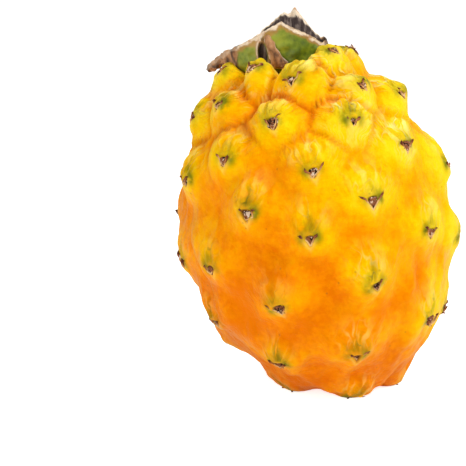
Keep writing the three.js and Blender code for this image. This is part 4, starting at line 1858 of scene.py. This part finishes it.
@dataclass(frozen=True)
class CutStem:
    """The cut piece of stem on top: a trough of rind with dry pith in it, and a dry arm.

    Attributes:
        form: The fruit's form, with which the stem leans.
        stations: Along X: the trough's middle and half width in Y, then the heights of its
            front rim, back rim, keel and pith.
        corners: How far round the section its corners are: front rim, front, keel, back,
            back rim and its inner edge, pith, the front rim's inner edge and front rim.
        bulge: How much of the half width the front has below its rim.
        swell: How far the front swells out.
        ragged: How uneven the rims are.
        pit: Where the scar beside the bract is: X, height, half width and half height.
        bract_route: The middle of the hanging dry bract: X, Y, height and half width.
        arm_from: Where along X the arm starts to be crumpled, and is fully so.
        arm_crumple, fibre_relief: How far the arm's folds and the pith's fibres move
            them, in Y and in height.
    """

    form: FruitForm
    stations: tuple[tuple[float, ...], ...] = (
        (-24.8, 7.8, 0.5, 94.2, 94.2, 93.8, 94.1),
        (-23.2, 7.5, 1.1, 96.1, 95.8, 92.9, 95.0),
        (-21.0, 6.8, 1.8, 97.6, 97.2, 94.0, 96.0),
        (-19.2, 5.8, 2.7, 98.6, 98.4, 94.0, 97.0),
        (-17.6, 4.2, 3.4, 99.6, 98.9, 92.6, 97.6),
        (-15.2, 2.2, 4.8, 100.7, 99.2, 90.4, 97.8),
        (-12.4, 1.0, 5.7, 101.8, 99.9, 88.6, 98.0),
        (-9.4, 0.3, 6.1, 103.0, 102.0, 87.4, 98.6),
        (-5.8, 0.0, 6.3, 104.8, 104.2, 86.7, 99.4),
        (-2.1, 0.0, 6.4, 106.0, 106.7, 86.3, 99.8),
        (-0.9, 0.0, 6.4, 105.2, 107.0, 86.3, 100.0),
        (0.8, 0.0, 6.4, 103.9, 106.7, 86.3, 99.8),
        (1.7, 0.0, 6.3, 103.4, 107.7, 86.3, 99.6),
        (2.4, 0.0, 6.3, 103.0, 108.0, 86.4, 99.4),
        (3.2, 0.0, 6.2, 102.5, 106.5, 86.6, 99.0),
        (5.0, 0.0, 5.9, 101.4, 103.6, 87.0, 98.4),
        (6.6, 0.0, 5.3, 100.0, 100.8, 88.2, 97.6),
        (8.2, 0.1, 4.3, 98.6, 99.2, 90.4, 96.8),
        (9.2, 0.2, 3.0, 99.0, 99.4, 92.6, 97.4),
        (10.2, 0.4, 1.4, 98.0, 98.5, 95.0, 97.2),
    )
    corners: tuple[float, ...] = (0, 0.24, 0.34, 0.42, 0.58, 0.63, 0.79, 0.95, 1)
    rim_thickness: float = 1.1
    bulge: float = 0.93
    swell: float = 0.5
    ragged: float = 0.11
    pit: tuple[float, float, float, float] = (-8.3, 97.9, 1.35, 3.4)
    pit_depth: float = 1.7
    bract_route: tuple[tuple[float, ...], ...] = (
        (-6.4, -6.5, 103.2, 0.5),
        (-6.3, -7.3, 101.6, 1.1),
        (-5.8, -7.9, 99.4, 1.3),
        (-5.0, -8.2, 97.0, 1.6),
        (-4.2, -8.3, 94.9, 2.1),
        (-3.9, -7.9, 93.6, 1.5),
    )
    arm_from: tuple[float, float] = (-14.8, -17.5)
    arm_crumple: tuple[float, float] = (0.45, 0.22)
    fibre_relief: tuple[float, float] = (0.2, 0.12)
    columns: int = 220
    rows: int = 110
    bract_columns: int = 60
    bract_rows: int = 28

    def line(self, edge: StemEdge, x: Array) -> Array:
        """Read one of the stem's lines at X."""
        return np.interp(x, [s[0] for s in self.stations], [s[edge.value] for s in self.stations])

    def at(self, corner: Corner) -> float:
        """Give how far round the section a corner is."""
        return self.corners[corner.value]

    def section(
        self, t: Array, half: Array, front: Array, back: Array, keel: Array, floor: Array
    ) -> tuple[Array, Array]:
        """Place points round the trough's section.

        Args:
            t: How far round each is.
            half: Half the trough's width there.
            front, back: The heights of its rims.
            keel, floor: The heights of its keel and its pith.

        Returns:
            How far back each is from the trough's middle, and its height.
        """
        rim = np.minimum(self.rim_thickness, half / 2)
        y_lines = np.stack([
            -half, -half * self.bulge, 0 * half, 0.45 * half, half, half - rim, 0.35 * half,
            -half + rim, -half,
        ], axis=-1)
        z_lines = np.stack([
            front, 0.45 * front + 0.55 * keel, keel, 0.7 * keel + 0.3 * back, back, back - 0.1,
            floor, front - 0.2, front,
        ], axis=-1)
        corners = np.array(self.corners)
        index = np.clip(np.searchsorted(corners, t, side="right") - 1, 0, len(corners) - 2)
        share = (t - corners[index]) / (corners[index + 1] - corners[index])
        row = np.arange(len(t))
        y, z = (
            lines[row, index] * (1 - share) + lines[row, index + 1] * share
            for lines in (y_lines, z_lines)
        )
        return y, z

    def trough(self, s: Array, t: Array) -> tuple[Array, Masks]:
        """Place the trough's points.

        Args:
            s: How far along the stem, from 0 to 1.
            t: How far round it: front rim, front, keel, back, back rim and over the pith.

        Returns:
            The points, and the masks for its finish.
        """
        x = self.stations[0][0] + s * (self.stations[-1][0] - self.stations[0][0])
        middle, half, front, back, keel, floor = (self.line(edge, x) for edge in StemEdge)
        along = np.stack([x, 4 * (t > 0.5), 0 * x], axis=-1)
        rough = self.ragged * Waves(seed=31, count=14, shortest=1.2, longest=4).at(along)
        front, back = front + rough, back + 1.5 * rough
        y, z = self.section(t, half, front, back, keel, floor)
        on_front = t < self.at(Corner.KEEL)
        inner = ((t > self.at(Corner.BACK_INNER)) & (t < self.at(Corner.FRONT_INNER))) * 1.0
        y -= self.swell * np.sin(np.pi * np.clip(t / self.at(Corner.KEEL), 0, 1))
        face = np.stack([x, 0 * y, z], axis=-1)
        y += 0.22 * Waves(seed=33, count=20, shortest=2, longest=6).at(face) * on_front
        pit_x, pit_z, pit_half, pit_reach = self.pit
        from_pit = np.hypot((x - pit_x) / pit_half, (z - pit_z) / pit_reach)
        pit = smooth_step(from_pit, 1.1, 0.7) * on_front
        y += self.pit_depth * pit
        fibres = Waves(seed=37, count=26, shortest=0.5, longest=1.6)
        fibre = fibres.at(np.stack([x, 0.2 * y, 0.16 * z], axis=-1)) * inner
        fibre *= smooth_step(t, self.at(Corner.BACK_INNER), self.at(Corner.BACK_INNER) + 0.06)
        round_and_along = np.stack(
            [3 * np.cos(2 * np.pi * t) + x, 3 * np.sin(2 * np.pi * t), x], axis=-1
        )
        folds = Waves(seed=47, count=18, shortest=1.6, longest=5).at(round_and_along)
        crumpled = folds * smooth_step(x, *self.arm_from)
        y += self.fibre_relief[0] * fibre + self.arm_crumple[0] * crumpled
        z += self.fibre_relief[1] * fibre + self.arm_crumple[1] * crumpled
        open_share = window(s, 0.0, 0.02, 0.985, 1.0)
        centre = (front + keel) / 2
        z = centre + (z - centre) * open_share
        y = y * open_share
        wander = 0.3 * Waves(seed=41, count=16, shortest=0.8, longest=3).at(face)
        below_front, below_back = front - z + wander, back - z + wander
        dry = np.maximum(smooth_step(x + wander, -14.6, -16), smooth_step(x, 8.4, 9.0))
        band = 0.3 + 1.7 * bell(x - 2.2, 2.0)
        in_back = (t > self.at(Corner.BACK)) & (t < self.at(Corner.PITH))
        on_back_rim = (t > self.at(Corner.BACK)) & (t < self.at(Corner.BACK_INNER))
        rust_reach = 1.9 + 1.6 * bell(x + 8.0, 2.2)
        rims = np.maximum.reduce([
            on_front * smooth_step(below_front, 1.3, 0.8),
            t > self.at(Corner.FRONT_INNER),
            in_back * smooth_step(below_back, band + 0.2, band - 0.2),
            on_back_rim,
            bell(from_pit - 1.15, 0.16) * on_front * (x < pit_x),
        ])
        masks = {
            "dry": np.clip(np.maximum(dry, 0.7 * bell(from_pit - 1.2, 0.3) * on_front), 0, 1),
            "rim": np.clip(rims, 0, 1) * (1 - 0.7 * dry),
            "pith": np.maximum.reduce([
                inner * (1 - 0.5 * dry),
                pit,
                smooth_step(x, 8.7, 9.2),
                0.8 * smooth_step(x, -23.2, -24.2),
                # Painted shade in the hollows of the dry arm's crumples
                0.75 * dry * smooth_step(folds, -0.5, -1.1) * (x < 0),
            ]),
            "edge": 0.85 * on_front * smooth_step(below_front, rust_reach + 0.5, rust_reach - 0.4),
        }
        return self.form.stand(np.stack([x, middle + y, z], axis=-1)), masks

    def bract(self, s: Array, t: Array) -> tuple[Array, Masks]:
        """Place the hanging dry bract's points.

        Args:
            s: How far along it, from 0 to 1.
            t: How far round it.

        Returns:
            The points, and the masks for its finish.
        """
        route = np.array(self.bract_route)
        stops = np.linspace(0, 1, len(route))
        x, y, z, half = (np.interp(s, stops, route[:, k]) for k in range(4))
        around = 2 * math.pi * t
        cos, sin = np.cos(around), np.sin(around)
        places = np.stack([6 * s, 2.2 * cos, 0 * s], axis=-1)
        crumple = Waves(seed=43, count=18, shortest=0.8, longest=3.2).at(places)
        full = window(s, 0, 0.08, 0.93, 1)
        x = x + half * (1 + 0.16 * crumple) * cos * full
        fold = 0.55 * half * np.abs(cos) ** 1.5
        y = y - (0.22 + 0.12 * crumple) * sin * full + fold + 0.22 * crumple
        z = z + 0.5 * (s > 0.85) * crumple * cos
        none = 0.0 * s
        edge = smooth_step(np.abs(cos), 0.86, 0.98)
        masks = {"dry": none + 1, "rim": 0.75 * edge, "pith": none, "edge": none}
        return self.form.stand(np.stack([x, y, z], axis=-1)), masks

    def build(self, material: Material) -> None:
        """Build the trough and the hanging bract.

        Args:
            material: The finish of both.
        """
        masks = ("dry", "rim", "pith", "edge")
        bm = start_mesh(*masks)
        add_strip(bm, self.columns, self.rows, self.trough)
        stem = new_object("stem_rind", bm, material)
        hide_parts("cut_stem")
        ride_as_part(stem)
        bm = start_mesh(*masks)
        add_strip(bm, self.bract_columns, self.bract_rows, self.bract)
        ride_as_part(new_object("dry_bract", bm, material))


@dataclass(frozen=True)
class SoftLight:
    """A square soft light that faces the fruit.

    Attributes:
        name: Its name.
        place: Where it hangs.
        side: The length of its sides.
        power: Its power in watts.
        aimed_at: The height on the Z axis that it faces.
    """

    name: str
    place: tuple[float, float, float]
    side: float
    power: float
    aimed_at: float = 50.0

    def build(self) -> None:
        """Hang the light."""
        data = bpy.data.lights.new(self.name, "AREA")
        data.size = self.side * MM
        data.energy = self.power
        light = bpy.data.objects.new(self.name, data)
        light.location = Vector(self.place) * MM
        aim = Vector((0, 0, self.aimed_at)) - Vector(self.place)
        light.rotation_euler = aim.to_track_quat("-Z", "Y").to_euler()
        bpy.context.scene.collection.objects.link(light)


@dataclass(frozen=True)
class Studio:
    """The floor, the lights and the camera.

    Attributes:
        looked_at: The point on the fruit's upright axis that the picture is framed by, in X
            and height.
        pixels_per_mm, picture_pixels: The photograph's scale and height.
        pixels_to_the_right: How far right of the picture's middle looked_at is.
        elevation: How far the camera looks down, in radians.
        distance: How far away it is.
    """

    form: FruitForm
    looked_at: tuple[float, float] = (46.0, 45.0)
    pixels_per_mm: float = 3.56
    picture_pixels: float = 466.0
    pixels_to_the_right: float = 84.0
    elevation: float = math.radians(12)
    distance: float = 600.0
    sensor: float = 36.0
    floor_size: float = 6000.0
    lights: tuple[SoftLight, ...] = (
        SoftLight("key", (400, -240, 500), 170, 2.6),
        SoftLight("top", (-60, 160, 640), 420, 1.6),
        SoftLight("fill", (-460, -480, 340), 460, 2.0),
    )
    world_strength: float = 0.28

    def floor(self, material: Material) -> None:
        """Lay the floor."""
        bm = bmesh.new()
        bmesh.ops.create_grid(bm, x_segments=8, y_segments=8, size=self.floor_size / 2 * MM)
        new_object("floor", bm, material)

    def camera(self) -> None:
        """Set the camera at the photograph's angle and framing."""
        along_x, along_z = self.looked_at
        target = Vector((
            self.form.foot_from_middle[0] - along_x * math.sin(self.form.lean),
            self.form.foot_from_middle[1],
            along_z * math.cos(self.form.lean) - self.form.foot_lowest - self.form.flat_spot_depth,
        ))
        back = Vector((0, -math.cos(self.elevation), math.sin(self.elevation)))
        aside = Vector((-self.pixels_to_the_right / self.pixels_per_mm, 0, 0))
        data = bpy.data.cameras.new("camera")
        data.sensor_width = self.sensor
        data.lens = self.sensor * self.distance / (self.picture_pixels / self.pixels_per_mm)
        data.clip_start = 0.01
        camera = bpy.data.objects.new("camera", data)
        camera.location = (target + back * self.distance + aside) * MM
        camera.rotation_euler = (math.pi / 2 - self.elevation, 0, 0)
        bpy.context.scene.collection.objects.link(camera)
        bpy.context.scene.camera = camera

    def build(self, floor_material: Material) -> None:
        """Set up the whole studio.

        Args:
            floor_material: The floor's finish.
        """
        self.floor(floor_material)
        self.camera()
        for light in self.lights:
            light.build()
        world = bpy.data.worlds.new("studio")
        world.use_nodes = True
        background = world.node_tree.nodes["Background"]
        background.inputs["Color"].default_value = WHITE
        background.inputs["Strength"].default_value = self.world_strength
        bpy.context.scene.world = world
        bpy.context.scene.view_settings.view_transform = "Standard"


def main() -> None:
    """Build the studio and dress the fruit."""
    logging.basicConfig(level=logging.INFO)
    form = FruitForm()
    effects = SharedEffects()
    Studio(form).build(FloorFinish().material())
    marks = mark_areoles(form)
    FruitSkin(form, marks).build(SkinFinish(effects).material())
    dress = AreoleDress(form, marks)
    dress.pads(FeltFinish(effects).material())
    spine = DryFinish(effects, "spine", srgb(214, 172, 124), srgb(146, 84, 46), srgb(72, 36, 18))
    dress.bristles(spine.material(), spiny=True)
    hair = DryFinish(effects, "hair", srgb(238, 210, 178), srgb(190, 138, 100), srgb(104, 56, 32))
    dress.bristles(hair.material(), spiny=False)
    scale = DryFinish(effects, "dry_scale", srgb(234, 190, 124), srgb(172, 104, 52), srgb(88, 38, 16))
    dress.scale_edges(scale.material())
    CutStem(form).build(StemFinish(effects).material())


if __name__ == "__main__":
    main()
